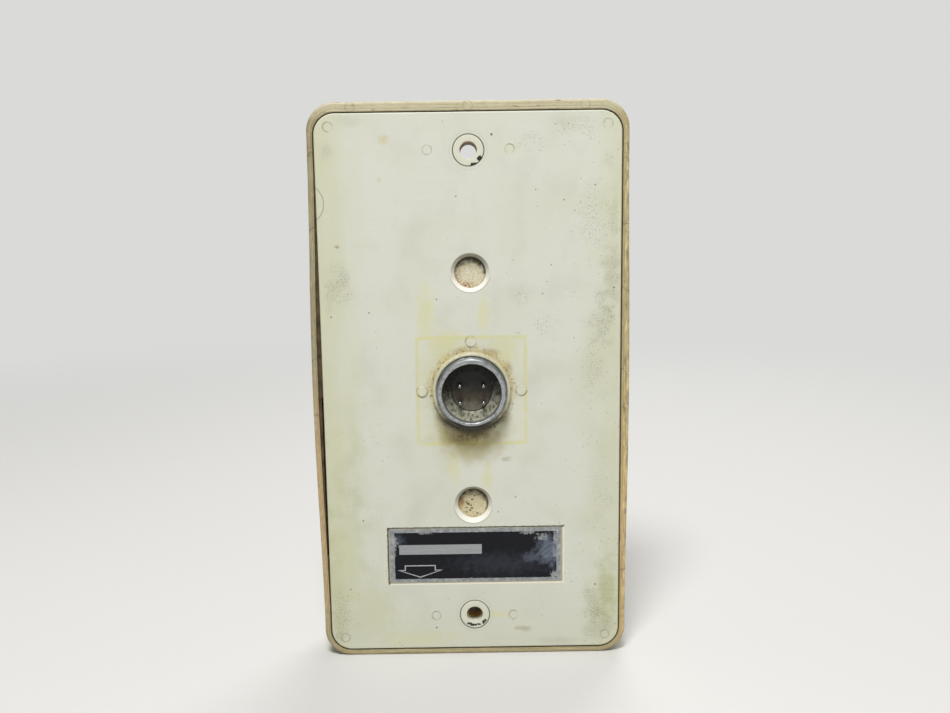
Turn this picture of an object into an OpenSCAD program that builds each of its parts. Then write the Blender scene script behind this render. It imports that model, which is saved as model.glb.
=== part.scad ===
// Crossed-loop radio antenna, potted, with a bolted mounting face and a threaded receptacle.
// Row frame in millimetres: the mounting face is the plane Y = 0 and looks along -Y, Z runs along the length
// with the forward end down, and the origin lies on the receptacle axis.
// Each module is drawn lying down: x across, y along the length, z out of the mounting face.

/* [Base plate] */
// Width of the base plate
plate_w = 108.1; // [100:0.1:120]
// Length of the base plate
plate_l = 197.8; // [190:0.1:215]
// Thickness of the base plate
plate_t = 3.6; // [3:0.1:5]
// Corner radius of the base plate
plate_r = 7.4; // [4:0.1:12]
// Gap between the plate and the housing at the ends
plate_gap = 0.4; // [0.2:0.05:0.8]

/* [Housing] */
// Width of the rim along both long sides
rim_side = 2.1; // [1.6:0.1:4]
// Width of the rim at the aft end
rim_aft = 3.4; // [1.6:0.1:5]
// Width of the rim at the forward end
rim_forward = 2.0; // [1.6:0.1:5]
// Outward bow of the left side wall at mid length
left_bow = 1.3; // [0:0.1:2]
// Outward bow of the right side wall at mid length
right_bow = 0.8; // [0:0.1:2]
// Depth of the housing from the mounting face to the top of the crown
housing_d = 28; // [26:0.5:34]
// Rise of the crowned outer face
dome_h = 1.6; // [0.5:0.1:3]
// Radius of the edge round the crowned face
crown_r = 8; // [4:0.5:9]
// Radius of the outer edge of the rim
rim_edge_r = 0.8; // [0.4:0.1:1.2]
// Thickness of the outer face
roof_t = 2.6; // [2:0.1:4]
// Width of the ledge that carries the plate
ledge_w = 2; // [1.5:0.1:3]

/* [Mounting] */
// Distance of each mounting hole from the end of the plate
mount_inset = 13.175; // [11:0.025:17]
// Diameter of the mounting holes
mount_d = 6; // [5:0.1:7]
// Outer diameter of the bushing where it passes the plate
bushing_d = 11; // [9.5:0.1:12.5]
// Outer diameter of the bushing's shoulder under the plate
shoulder_d = 15; // [14:0.1:17]
// Diameter of the screw wells in the outer face
well_d = 15; // [13:0.5:17]
// Depth of the screw wells
well_depth = 5; // [4:0.5:7]
// Thickness of the floor of the screw wells
well_floor = 2.5; // [2:0.1:4]
// Outer diameter of the bosses round the screw wells
boss_d = 20; // [19:0.5:22]

/* [Fill holes] */
// Distance of each fill hole from its mounting hole
fill_from_mount = 42.825; // [41:0.025:45]
// Diameter of a fill hole
fill_d = 11.3; // [10:0.1:13]
// Width of the chamfer round a fill hole
fill_chamfer = 1.2; // [0.6:0.1:1.6]
// Depth of the compound below the mounting face
fill_depth = 2.6; // [1.8:0.1:3]

/* [Data plate] */
// Width of the data plate pocket
label_w = 65.1; // [55:0.1:75]
// Height of the data plate pocket
label_h = 21.7; // [16:0.1:24]
// Sideways place of the pocket
label_x = 0.5; // [-2:0.1:2]
// Distance of the pocket's middle from the forward mounting hole
label_from_mount = 23.325; // [22:0.025:24]
// Depth of the pocket
pocket_depth = 0.5; // [0.3:0.1:1]
// Thickness of the data plate
label_t = 0.3; // [0.2:0.05:0.5]
// Gap between the data plate and the pocket's edge
label_gap = 0.25; // [0.1:0.05:0.5]

/* [Receptacle] */
// Height of the receptacle above the mounting face
shell_h = 6; // [5:0.5:10]
// Outer diameter over the thread
thread_d = 25.4; // [24:0.1:27]
// Pitch of the thread
thread_pitch = 1.27; // [1:0.01:1.6]
// Depth of the thread
thread_depth = 0.6; // [0.3:0.05:0.8]
// Inner diameter of the receptacle
socket_d = 21.2; // [20.4:0.1:22]
// Depth of the receptacle to its inner ledge
socket_depth = 4.6; // [4:0.1:6]
// Diameter of the insert
insert_d = 15; // [14.4:0.1:16]
// Depth of the insert's face below the inner ledge
insert_recess = 0.8; // [0.4:0.1:2]
// Diameter of the contact pins
pin_d = 1.6; // [1.2:0.1:2]
// Sideways place of the pins either side of the axis
pin_x = 4.3; // [3.8:0.1:4.8]
// Lengthwise place of the pins either side of their middle
pin_y = 3.1; // [2.8:0.1:3.4]
// Distance of the pins' middle forward of the axis
pin_drop = 0.9; // [0:0.1:1.3]
// Distance of the pin tips below the receptacle's rim
pin_below = 2.2; // [1.8:0.1:3]
// Width of the key slot
key_w = 2.4; // [1.5:0.1:3]
// Depth of the key slot
key_depth = 0.8; // [0.4:0.1:1.1]
// Width of the square flange
flange_w = 32.5; // [31:0.5:34]
// Thickness of the square flange
flange_t = 2; // [1.5:0.1:3]
// Distance between the flange screws
flange_pitch = 24.6; // [24.2:0.1:25.2]
// Diameter of the flange screws
flange_screw_d = 2.8; // [2.2:0.1:3]
// Thickness of the gasket
gasket_t = 0.8; // [0.5:0.1:1.2]
// Clearance between the shell and the plate
shell_gap = 0.3; // [0.1:0.05:0.5]
// Outer diameter of the collar round the receptacle
collar_d = 28.2; // [27.6:0.1:31]
// Height of the collar
collar_h = 2; // [1:0.1:3.5]
// Outer width of the square rib behind the plate
rib_w = 40; // [38:0.5:41]
// Thickness of the square rib
rib_t = 1.8; // [1.4:0.1:2.4]
// Height of the square rib
rib_h = 4; // [2:0.5:5]

/* [Loops] */
// Wall of compound at each end of the loops
coil_wall = 0.5625; // [0.4:0.0125:3]
// Clearance between the loops' wires and the compound
coil_clear = 0.8; // [0.4:0.1:1.5]
// Thickness of the ferrite core
core_t = 8; // [6:0.5:8.5]
// Wall of the former trays
former_t = 1.2; // [0.8:0.1:1.4]
// Width of each winding
winding_w = 20; // [14:0.5:24]
// Thickness of each winding
winding_t = 1.2; // [0.8:0.1:1.4]
// Clearance round each winding
winding_gap = 0.1; // [0.05:0.05:0.2]
// Width of the core pads
pad_w = 7; // [5:0.5:8]
// Diameter of the wires
wire_d = 1; // [0.8:0.1:1.2]

/* [Amplifier board] */
// Width of the board
board_w = 84; // [80:1:92]
// Wall of compound at each end of the board
board_wall = 2.8625; // [1.5:0.0125:4]
// Clearance between the board and the compound
board_clear = 2; // [1:0.1:3]
// Thickness of the board
board_t = 1.6; // [1:0.1:2]
// Depth of the board's component face below the mounting face
board_depth = 14; // [13.5:0.1:15]
// Distance of the board screws from the board's edges
board_inset = 4; // [3.5:0.1:5]
// Outer diameter of the board bosses
board_boss_d = 6.4; // [5.5:0.1:7]
// Diameter of the board screws
board_screw_d = 2.8; // [2:0.1:3]
// Diameter of the transformers
transformer_d = 14; // [12:0.5:15]
// Height of the transformers
transformer_h = 7.5; // [6:0.1:8]
// Diameter of the amplifier cans
can_d = 9.2; // [8:0.1:9.6]
// Height of the amplifier cans
can_h = 6.6; // [5:0.1:8]
// Gap between the two amplifier cans
can_gap = 2.8; // [1:0.1:4]
// Length of a capacitor
capacitor_l = 7; // [5:0.1:8]
// Thickness of a capacitor
capacitor_t = 3.2; // [2:0.1:4]
// Height of a capacitor
capacitor_h = 6.5; // [4:0.1:8]
// Distance of the outer capacitors' middles from the board's side edges
capacitor_inset = 4.5; // [4:0.1:6]
// Distance of the capacitors below the row of cans
capacitor_drop = 8; // [7:0.1:9]
// Gap between an outer capacitor and its transformer
part_gap = 1; // [0.4:0.1:1.5]
// Diameter of a resistor
resistor_d = 2.4; // [1.6:0.1:3]
// Length of a resistor
resistor_l = 6.5; // [4:0.1:7.5]
// Distance of the end resistors' middles from the board's side edges
resistor_side = 17; // [14:0.5:20]
// Distance of the resistors from the board's forward edge
resistor_inset = 7; // [5:0.1:9]

/* [Moulding marks] */
// Depth of the ejector marks
mark_depth = 0.15; // [0.05:0.05:0.3]
// Height of the pads round the receptacle
mark_rise = 0.3; // [0.1:0.05:0.6]
// Diameter of the pads round the receptacle
mark_d = 3.8; // [2:0.1:5]
// Diameter of the marks on the rim, in the corners and beside the mounting holes
small_mark_d = 3.3; // [2:0.1:4]
// Distance of the pads from the receptacle's axis
mark_r = 18; // [17:0.1:20]
// Distance of the corner marks from the plate's edges
mark_inset = 4.9; // [4:0.1:7]
// Distance of the marks beside a mounting hole
mark_beside = 14.5; // [11:0.1:18]
// Sideways distance of the marks on the end rims
rim_mark_x = 41; // [30:0.5:45]

/* [Hidden] */
$fn = 64;
eps = 0.01;
corner_steps = 10;
side_steps = 16;
crown_steps = 7;
dome_steps = 5;
crown_stop = 87;
wall_draft = 1;

// Plan sizes that follow from the plate
opening_hw = plate_w / 2 + plate_gap;
opening_hl = plate_l / 2 + plate_gap;
opening_r = plate_r + plate_gap;
housing_hw = opening_hw + rim_side;
housing_top = opening_hl + rim_aft;
housing_low = -opening_hl - rim_forward;
housing_r = opening_r + rim_side;
cavity_r = opening_r - ledge_w;

// Depths, negative into the housing
plate_back = -plate_t;
crown_z = -(housing_d - dome_h);
roof_z = crown_z + roof_t;
well_z = crown_z + well_depth;
boss_z = well_z + well_floor;
board_z = -board_depth;
board_under = board_z - board_t;
fill_layer = 1.4;
pocket_top = plate_back - fill_layer;

// Receptacle depths
ledge_z = shell_h - socket_depth;
insert_z = ledge_z - insert_recess;
flange_top = plate_back - gasket_t;
flange_z = flange_top - flange_t;
barrel_d = 19;
barrel_z = flange_z - 2;
insert_back = barrel_z - 1;
pin_back = insert_back - 1.5;
pin_top = shell_h - pin_below;
lead_z = pin_back - 1;
flange_head_d = 5;
flange_head_h = 1.6;
flange_screw_in = plate_t - 1;

// Places along the length
mount_y = plate_l / 2 - mount_inset;
fill_y = mount_y - fill_from_mount;
label_y = label_from_mount - mount_y;
coil_room = mount_y - boss_d / 2 - rib_w / 2;

// Loop sizes
coil_y = (rib_w + coil_room) / 2;
coil_z = (pocket_top + roof_z) / 2;
core_w = coil_room - 2 * (coil_wall + coil_clear + wire_d + winding_t + winding_gap + former_t);
former_hw = core_w / 2 + former_t;
former_ht = core_t / 2 + former_t;
inner_ht = former_ht + winding_gap;
outer_ht = inner_ht + winding_t + winding_gap;
winding_hw = former_hw + winding_gap + winding_t;
winding_bend = winding_gap;
wire_r = wire_d / 2;
coil_lead_x = winding_hw + wire_r;
coil_pocket_hw = winding_hw + wire_d + coil_clear;
pad_at = former_hw - pad_w / 2 - 1;
lead_run_z = coil_z - outer_ht + 1;

// Board sizes
board_y = -coil_y;
board_l = coil_room - 2 * (board_wall + board_clear);
board_top_y = board_y + board_l / 2;
board_hole_x = board_w / 2 - board_inset;
board_hole_y = board_l / 2 - board_inset;
board_head_d = 5;
board_head_h = 1.8;
board_screw_in = 5;
can_x = (can_d + can_gap) / 2;
capacitor_x = board_w / 2 - capacitor_inset;
transformer_x = capacitor_x - capacitor_l / 2 - part_gap - transformer_d / 2;
inner_capacitor_x = transformer_x - transformer_d / 2 - part_gap / 2 - capacitor_l / 2;
transformer_y = 2;
resistor_count = 6;
resistor_x = board_w / 2 - resistor_side;
resistor_pitch = 2 * resistor_x / (resistor_count - 1);
resistor_y = resistor_inset - board_l / 2;
terminal_y = board_top_y - 3.2;
terminal_d = 1.2;
terminal_h = 2.6;
terminal_z = board_z + terminal_h / 2;
rise_y = board_top_y + 1.4;
connector_fan = 3.5;
winding_fan = 2.5;
terminal_x = [pin_x, pin_x + connector_fan, coil_lead_x - winding_fan, coil_lead_x];

// Outward bow of a side wall at a distance y from mid length
function side_bow(y, half, bow) = bow * pow(cos(90 * y / half), 2);

// Quarter arc of one corner, counter-clockwise
function corner_arc(x, y, r, from) = [
    for (i = [0:corner_steps])
        let (a = from + 90 * i / corner_steps)
            [x + r * cos(a), y + r * sin(a)]
];

// Plan outline with round corners and long sides bowed by [left, right], counter-clockwise
function bowed_outline(hw, low, top, r, bows) =
    let (mid = (low + top) / 2, half = (top - low) / 2 - r)
        concat(
            corner_arc(hw - r, top - r, r, 0),
            corner_arc(r - hw, top - r, r, 90),
            [for (i = [1:side_steps - 1])
                let (y = half * (1 - 2 * i / side_steps))
                    [-hw - side_bow(y, half, bows[0]), mid + y]],
            corner_arc(r - hw, low + r, r, 180),
            corner_arc(hw - r, low + r, r, 270),
            [for (i = [1:side_steps - 1])
                let (y = half * (2 * i / side_steps - 1))
                    [hw + side_bow(y, half, bows[1]), mid + y]]
        );

// Housing outline drawn in by an inset
function housing_outline(inset) =
    bowed_outline(housing_hw - inset, housing_low + inset, housing_top - inset, housing_r - inset,
        [left_bow, right_bow]);

// Inset and depth of each ring of the housing's skin, from the rim to the crown
draft_in = (-crown_z - crown_r - rim_edge_r) * tan(wall_draft);
skin_rings = concat(
    [for (a = [90:-30:0]) [rim_edge_r * (1 - cos(a)), rim_edge_r * (sin(a) - 1)]],
    [for (i = [0:crown_steps])
        let (a = crown_stop * i / crown_steps)
            [draft_in + crown_r * (1 - cos(a)), crown_z + crown_r * (1 - sin(a))]]
);
crown_mid = (housing_low + housing_top) / 2;
crown_outline = housing_outline(skin_rings[len(skin_rings) - 1][0]);

// Rings of the dome, drawn towards the middle of the crown
dome_rings = [
    for (k = [1:dome_steps - 1])
        let (s = 1 - k / dome_steps)
            [for (p = crown_outline)
                [p[0] * s, crown_mid + (p[1] - crown_mid) * s, crown_z - dome_h * (1 - s * s)]]
];

// Lays a lying shape up into the row frame
module stand() {
    rotate([90, 0, 0])
        children();
}

// Copies to both ends, or to the four quarters
module both_ends(y) {
    for (s = [-1, 1])
        translate([0, s * y, 0])
            children();
}

module quarters(x, y) {
    for (sx = [-1, 1])
        for (sy = [-1, 1])
            translate([sx * x, sy * y, 0])
                children();
}

// Upright cylinder between two depths
module post(d, low, top) {
    translate([0, 0, low])
        cylinder(d = d, h = top - low);
}

// Upright block between two depths, centred in plan
module slab(w, l, low, top) {
    translate([-w / 2, -l / 2, low])
        cube([w, l, top - low]);
}

module rounded_plan(w, l, r) {
    square([w - 2 * r, l], center = true);
    square([w, l - 2 * r], center = true);
    quarters(w / 2 - r, l / 2 - r)
        circle(r = r);
}

// Round wire along a list of points
module wire(points) {
    for (i = [0:len(points) - 2]) {
        run = points[i + 1] - points[i];
        translate(points[i])
            rotate([0, acos(run[2] / norm(run)), atan2(run[1], run[0])])
                cylinder(d = wire_d, h = norm(run));
    }
    for (i = [1:len(points) - 2])
        translate(points[i])
            sphere(d = wire_d);
}

module housing_skin() {
    rings = concat(
        [for (g = skin_rings) [for (p = housing_outline(g[0])) [p[0], p[1], g[1]]]],
        dome_rings
    );
    n = len(rings[0]);
    count = len(rings);
    points = concat(
        [for (g = rings) for (p = g) p],
        [[0, crown_mid, 0], [0, crown_mid, crown_z - dome_h]]
    );
    faces = concat(
        [for (k = [0:count - 2])
            for (i = [0:n - 1])
                [k * n + i, k * n + (i + 1) % n, (k + 1) * n + (i + 1) % n]],
        [for (k = [0:count - 2])
            for (i = [0:n - 1])
                [k * n + i, (k + 1) * n + (i + 1) % n, (k + 1) * n + i]],
        [for (i = [0:n - 1]) [count * n, (i + 1) % n, i]],
        [for (i = [0:n - 1]) [count * n + 1, (count - 1) * n + i, (count - 1) * n + (i + 1) % n]]
    );
    polyhedron(points = points, faces = faces);
}

// The opening bows with the left wall only, so the right rim is wider at mid length
module opening_plan() {
    polygon(bowed_outline(opening_hw, -opening_hl, opening_hl, opening_r, [left_bow, 0]));
}

module cavity_plan() {
    polygon(bowed_outline(opening_hw - ledge_w, ledge_w - opening_hl, opening_hl - ledge_w, cavity_r,
        [left_bow, 0]));
}

// Hollow under the ledge, round the bosses
module cavity(top) {
    difference() {
        translate([0, 0, roof_z])
            linear_extrude(height = top - roof_z)
                cavity_plan();
        both_ends(mount_y)
            post(boss_d, roof_z - eps, boss_z);
    }
}

module rim_marks() {
    for (x = [-rim_mark_x, 0, rim_mark_x]) {
        translate([x, opening_hl + rim_aft / 2, 0])
            post(small_mark_d, -mark_depth, 1);
        translate([x, -opening_hl - rim_forward / 2, 0])
            post(small_mark_d, -mark_depth, 1);
    }
    for (s = [-1, 1])
        both_ends(mount_y)
            translate([s * (opening_hw + rim_side / 2), 0, 0])
                post(small_mark_d, -mark_depth, 1);
}

module housing() {
    color("#C9BE98")
        stand() {
            difference() {
                housing_skin();
                translate([0, 0, plate_back])
                    linear_extrude(height = plate_t + 1)
                        opening_plan();
                cavity(plate_back + eps);
                both_ends(mount_y) {
                    post(well_d, -housing_d - 1, well_z);
                    post(mount_d + 0.4, well_z - eps, boss_z + eps);
                }
                rim_marks();
            }
            translate([0, board_y, 0])
                quarters(board_hole_x, board_hole_y)
                    difference() {
                        post(board_boss_d, roof_z - eps, board_under);
                        post(board_screw_d, board_under - board_screw_in, board_under + 1);
                    }
        }
}

module fill_hole() {
    post(fill_d, plate_back - 1, 1);
    translate([0, 0, -fill_chamfer])
        cylinder(d1 = fill_d, d2 = fill_d + 2 * fill_chamfer + 0.2, h = fill_chamfer + 0.1);
}

module plate_marks() {
    quarters(plate_w / 2 - mark_inset, plate_l / 2 - mark_inset)
        post(small_mark_d, -mark_depth, 1);
    quarters(mark_beside, mount_y)
        post(small_mark_d, -mark_depth, 1);
}

// Low pads left by the four ejectors round the receptacle
module plate_pads() {
    for (a = [0:90:270])
        rotate([0, 0, a])
            translate([mark_r, 0, 0])
                post(mark_d, -eps, mark_rise);
}

module base_plate() {
    color("#DAD9C8")
        stand()
            difference() {
                union() {
                    translate([0, 0, plate_back])
                        linear_extrude(height = plate_t)
                            rounded_plan(plate_w, plate_l, plate_r);
                    post(collar_d, -eps, collar_h);
                    plate_pads();
                    difference() {
                        slab(rib_w, rib_w, plate_back - rib_h, plate_back + eps);
                        slab(rib_w - 2 * rib_t, rib_w - 2 * rib_t, plate_back - rib_h - 1, plate_back);
                    }
                }
                post(thread_d + 2 * shell_gap, plate_back - 1, collar_h + 1);
                both_ends(mount_y)
                    post(bushing_d, plate_back - 1, 1);
                both_ends(fill_y)
                    fill_hole();
                translate([label_x, label_y, 0])
                    slab(label_w, label_h, -pocket_depth, 1);
                quarters(flange_pitch / 2, flange_pitch / 2)
                    post(flange_screw_d, plate_back - 1, plate_back + flange_screw_in);
                plate_marks();
            }
}

module edge_adhesive() {
    bead_top = -0.7;
    break_top = -2;
    break_low = -66;
    broken_z = -2.9;
    broken_w = 0.7;
    color("#8E7A48")
        stand()
            difference() {
                translate([0, 0, plate_back])
                    linear_extrude(height = bead_top - plate_back)
                        difference() {
                            opening_plan();
                            rounded_plan(plate_w, plate_l, plate_r);
                        }
                translate([-plate_w / 2 - broken_w, break_low, broken_z])
                    cube([broken_w + 1, break_top - break_low, 5]);
            }
}

module bushing() {
    stand()
        difference() {
            union() {
                post(bushing_d, boss_z, 0);
                post(shoulder_d, boss_z, plate_back);
            }
            post(mount_d, boss_z - 1, 1);
        }
}

module aft_bushing() {
    color("#9A958A")
        translate([0, 0, mount_y])
            bushing();
}

module forward_bushing() {
    color("#9A958A")
        translate([0, 0, -mount_y])
            bushing();
}

module potting() {
    color("#B89F6C")
        stand()
            difference() {
                union() {
                    cavity(plate_back);
                    both_ends(fill_y)
                        post(fill_d, plate_back - eps, -fill_depth);
                }
                both_ends(mount_y)
                    post(shoulder_d, boss_z - 1, plate_back + 1);
                slab(rib_w, rib_w, lead_z - 2, plate_back + 1);
                translate([0, coil_y, 0])
                    slab(2 * coil_pocket_hw, 2 * coil_pocket_hw, roof_z - 1, pocket_top);
                translate([0, board_y, 0])
                    slab(board_w + 2 * board_clear, board_l + 2 * board_clear, roof_z - 1, pocket_top);
                lead_channels();
            }
}

// Passages that the wires lie in
module lead_channels() {
    fan = pin_x + connector_fan + wire_d;
    translate([-fan, rise_y - 1, lead_z - 2])
        cube([2 * fan, -rise_y, 4]);
    for (s = [-1, 1])
        translate([s * (coil_lead_x - winding_fan / 2), 0, 0])
            slab(winding_fan + 2 * wire_d, 2 * coil_y, roof_z - 1, lead_run_z + wire_d);
}

module nameplate() {
    color("#2B2C2E")
        stand()
            translate([label_x, label_y, 0])
                slab(label_w - 2 * label_gap, label_h - 2 * label_gap, -pocket_depth, label_t - pocket_depth);
}

// Half section of the receptacle: barrel, threaded front, rounded rim and inner ledge
thread_r = thread_d / 2;
thread_low = collar_h + 0.3;
thread_count = floor((shell_h - 0.8 - thread_low) / thread_pitch);
thread_section = [
    for (i = [0:thread_count - 1])
        for (p = [[0, 0.1], [thread_depth, 0.4], [thread_depth, 0.6], [0, 0.9]])
            [thread_r - p[0], thread_low + (i + p[1]) * thread_pitch]
];
shell_section = concat(
    [[insert_d / 2, barrel_z], [barrel_d / 2, barrel_z], [barrel_d / 2, flange_z], [thread_r, flange_z]],
    thread_section,
    [[thread_r, shell_h - 0.4], [thread_r - 0.4, shell_h], [socket_d / 2 + 0.6, shell_h],
        [socket_d / 2, shell_h - 0.8], [socket_d / 2, ledge_z], [insert_d / 2, ledge_z]]
);

module connector_shell() {
    color("#8F918D")
        stand()
            difference() {
                union() {
                    rotate_extrude()
                        polygon(shell_section);
                    difference() {
                        slab(flange_w, flange_w, flange_z, flange_top);
                        post(thread_d - 1, flange_z - 1, flange_top + 1);
                    }
                }
                translate([-key_w / 2, socket_d / 2 - 1, ledge_z])
                    cube([key_w, 1 + key_depth, socket_depth + 1]);
                quarters(flange_pitch / 2, flange_pitch / 2)
                    post(flange_screw_d, flange_z - 1, flange_top + 1);
            }
}

module connector_insert() {
    color("#3E2F22")
        stand()
            difference() {
                post(insert_d, insert_back, insert_z);
                translate([0, -pin_drop, 0])
                    quarters(pin_x, pin_y)
                        post(pin_d, insert_back - 1, insert_z + 1);
            }
}

module contact_pins() {
    color("#B8A878")
        stand()
            translate([0, -pin_drop, 0])
                quarters(pin_x, pin_y) {
                    post(pin_d, pin_back, pin_top - pin_d / 2);
                    translate([0, 0, pin_top - pin_d / 2])
                        sphere(d = pin_d);
                }
}

module connector_gasket() {
    color("#2E2E2C")
        stand()
            difference() {
                slab(flange_w, flange_w, flange_top, plate_back);
                post(thread_d, flange_top - 1, plate_back + 1);
                quarters(flange_pitch / 2, flange_pitch / 2)
                    post(flange_screw_d, flange_top - 1, plate_back + 1);
            }
}

module flange_screws() {
    color("#A7A9AB")
        stand()
            quarters(flange_pitch / 2, flange_pitch / 2)
                difference() {
                    union() {
                        post(flange_screw_d, flange_z - eps, plate_back + flange_screw_in);
                        post(flange_head_d, flange_z - flange_head_h, flange_z);
                    }
                    slab(0.7, flange_head_d + 1, flange_z - flange_head_h - 1, flange_z - flange_head_h + 0.8);
                }
}

// Lying place of the loop assembly's middle
module at_coil() {
    stand()
        translate([0, coil_y, coil_z])
            children();
}

module ferrite_core() {
    color("#3A3B3D")
        at_coil()
            slab(core_w, core_w, -core_t / 2, core_t / 2);
}

module former_front() {
    color("#C8C2AE")
        at_coil()
            difference() {
                slab(2 * former_hw, 2 * former_hw, 0, former_ht);
                slab(core_w, core_w, -1, core_t / 2);
            }
}

module former_rear() {
    color("#BDB7A3")
        at_coil()
            difference() {
                slab(2 * former_hw, 2 * former_hw, -former_ht, 0);
                slab(core_w, core_w, -core_t / 2, 1);
            }
}

// Flat winding whose turns go round the formers across x
module winding_band(half_t) {
    inner_w = 2 * (former_hw + winding_gap);
    inner_h = 2 * half_t;
    translate([0, winding_w / 2, 0])
        rotate([90, 0, 0])
            linear_extrude(height = winding_w)
                difference() {
                    rounded_plan(inner_w + 2 * winding_t, inner_h + 2 * winding_t, winding_bend + winding_t);
                    rounded_plan(inner_w, inner_h, winding_bend);
                }
}

module fore_aft_winding() {
    color("#9C5A32")
        at_coil()
            winding_band(inner_ht);
}

module lateral_winding() {
    color("#A8663A")
        at_coil()
            rotate([0, 0, 90])
                winding_band(outer_ht);
}

module core_pads() {
    color("#4A4A46")
        at_coil()
            quarters(pad_at, pad_at)
                slab(pad_w, pad_w, roof_z - coil_z, -former_ht);
}

// Lying place of the board's middle
module at_board() {
    stand()
        translate([0, board_y, board_z])
            children();
}

module circuit_board() {
    color("#6E7B3C")
        at_board()
            difference() {
                slab(board_w, board_l, -board_t, 0);
                quarters(board_hole_x, board_hole_y)
                    post(board_screw_d + 0.3, -board_t - 1, 1);
            }
}

module board_screws() {
    color("#A7A9AB")
        at_board()
            quarters(board_hole_x, board_hole_y)
                difference() {
                    union() {
                        post(board_screw_d, -board_t - board_screw_in, eps);
                        post(board_head_d, 0, board_head_h);
                    }
                    slab(0.7, board_head_d + 1, board_head_h - 0.9, board_head_h + 1);
                }
}

module matching_transformers() {
    color("#55504A")
        at_board()
            for (s = [-1, 1])
                translate([s * transformer_x, transformer_y, 0]) {
                    post(transformer_d, 0, transformer_h * 0.45);
                    post(transformer_d - 1, transformer_h * 0.45 - eps, transformer_h * 0.55 + eps);
                    post(transformer_d, transformer_h * 0.55, transformer_h);
                }
}

module amplifier_cans() {
    color("#B9BBBD")
        at_board()
            for (s = [-1, 1])
                translate([s * can_x, 0, 0]) {
                    post(can_d, 0, 0.8);
                    post(can_d - 1, 0.8 - eps, can_h);
                }
}

module resistors() {
    color("#9A6B45")
        at_board()
            for (i = [0:resistor_count - 1])
                translate([resistor_pitch * i - resistor_x - resistor_l / 2, resistor_y, resistor_d / 2])
                    rotate([0, 90, 0])
                        cylinder(d = resistor_d, h = resistor_l);
}

module capacitors() {
    color("#B5762E")
        at_board()
            for (x = [-capacitor_x, -inner_capacitor_x, inner_capacitor_x, capacitor_x])
                translate([x, -capacitor_drop, 0])
                    slab(capacitor_l, capacitor_t, 0, capacitor_h);
}

module board_terminals() {
    color("#C7B068")
        at_board()
            for (s = [-1, 1])
                for (x = terminal_x)
                    translate([s * x, terminal_y - board_y, 0])
                        post(terminal_d, 0, terminal_h);
}

module connector_leads() {
    stop_y = terminal_y + terminal_d / 2;
    fan_x = pin_x + connector_fan;
    near_y = -pin_drop - pin_y;
    far_y = pin_y - pin_drop;
    color("#A63A2E")
        stand()
            for (s = [-1, 1]) {
                wire([
                    [s * pin_x, near_y, pin_back], [s * pin_x, near_y, lead_z],
                    [s * pin_x, rise_y, lead_z], [s * pin_x, rise_y, terminal_z], [s * pin_x, stop_y, terminal_z]
                ]);
                wire([
                    [s * pin_x, far_y, pin_back], [s * pin_x, far_y, lead_z], [s * fan_x, -pin_drop, lead_z],
                    [s * fan_x, rise_y, lead_z], [s * fan_x, rise_y, terminal_z], [s * fan_x, stop_y, terminal_z]
                ]);
            }
}

module winding_leads() {
    stop_y = terminal_y + terminal_d / 2;
    near_y = coil_y - winding_hw - wire_r;
    side_x = coil_lead_x;
    inner_x = coil_lead_x - winding_fan;
    color("#3C6E8C")
        stand()
            for (s = [-1, 1]) {
                wire([
                    [s * side_x, coil_y - 6, coil_z], [s * side_x, coil_y - 6, lead_run_z],
                    [s * side_x, rise_y, lead_run_z], [s * side_x, rise_y, terminal_z],
                    [s * side_x, stop_y, terminal_z]
                ]);
                wire([
                    [s * 6, near_y, coil_z], [s * 6, near_y, lead_run_z], [s * inner_x, near_y, lead_run_z],
                    [s * inner_x, rise_y, lead_run_z], [s * inner_x, rise_y, terminal_z],
                    [s * inner_x, stop_y, terminal_z]
                ]);
            }
}

housing();
base_plate();
edge_adhesive();
aft_bushing();
forward_bushing();
potting();
nameplate();
connector_shell();
connector_insert();
contact_pins();
connector_gasket();
flange_screws();
ferrite_core();
former_front();
former_rear();
fore_aft_winding();
lateral_winding();
core_pads();
circuit_board();
board_screws();
matching_transformers();
amplifier_cans();
resistors();
capacitors();
board_terminals();
connector_leads();
winding_leads();
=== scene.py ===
import functools
import math

import bmesh
import bpy
from mathutils import Matrix, Vector, noise
from mathutils.geometry import delaunay_2d_cdt


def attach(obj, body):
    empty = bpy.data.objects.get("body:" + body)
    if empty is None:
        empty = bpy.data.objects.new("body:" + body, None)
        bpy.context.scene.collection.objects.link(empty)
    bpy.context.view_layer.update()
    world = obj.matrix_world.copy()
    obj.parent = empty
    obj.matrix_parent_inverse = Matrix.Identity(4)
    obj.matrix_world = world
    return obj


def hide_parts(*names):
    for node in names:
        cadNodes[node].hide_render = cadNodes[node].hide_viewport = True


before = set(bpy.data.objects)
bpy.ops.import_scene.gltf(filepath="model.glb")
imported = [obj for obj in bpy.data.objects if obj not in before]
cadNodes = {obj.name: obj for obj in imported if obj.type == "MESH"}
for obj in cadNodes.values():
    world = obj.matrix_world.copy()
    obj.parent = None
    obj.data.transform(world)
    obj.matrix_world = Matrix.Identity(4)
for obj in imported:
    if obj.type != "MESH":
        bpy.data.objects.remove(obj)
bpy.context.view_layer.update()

print("frame loaded with", len(cadNodes), "nodes")

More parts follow.
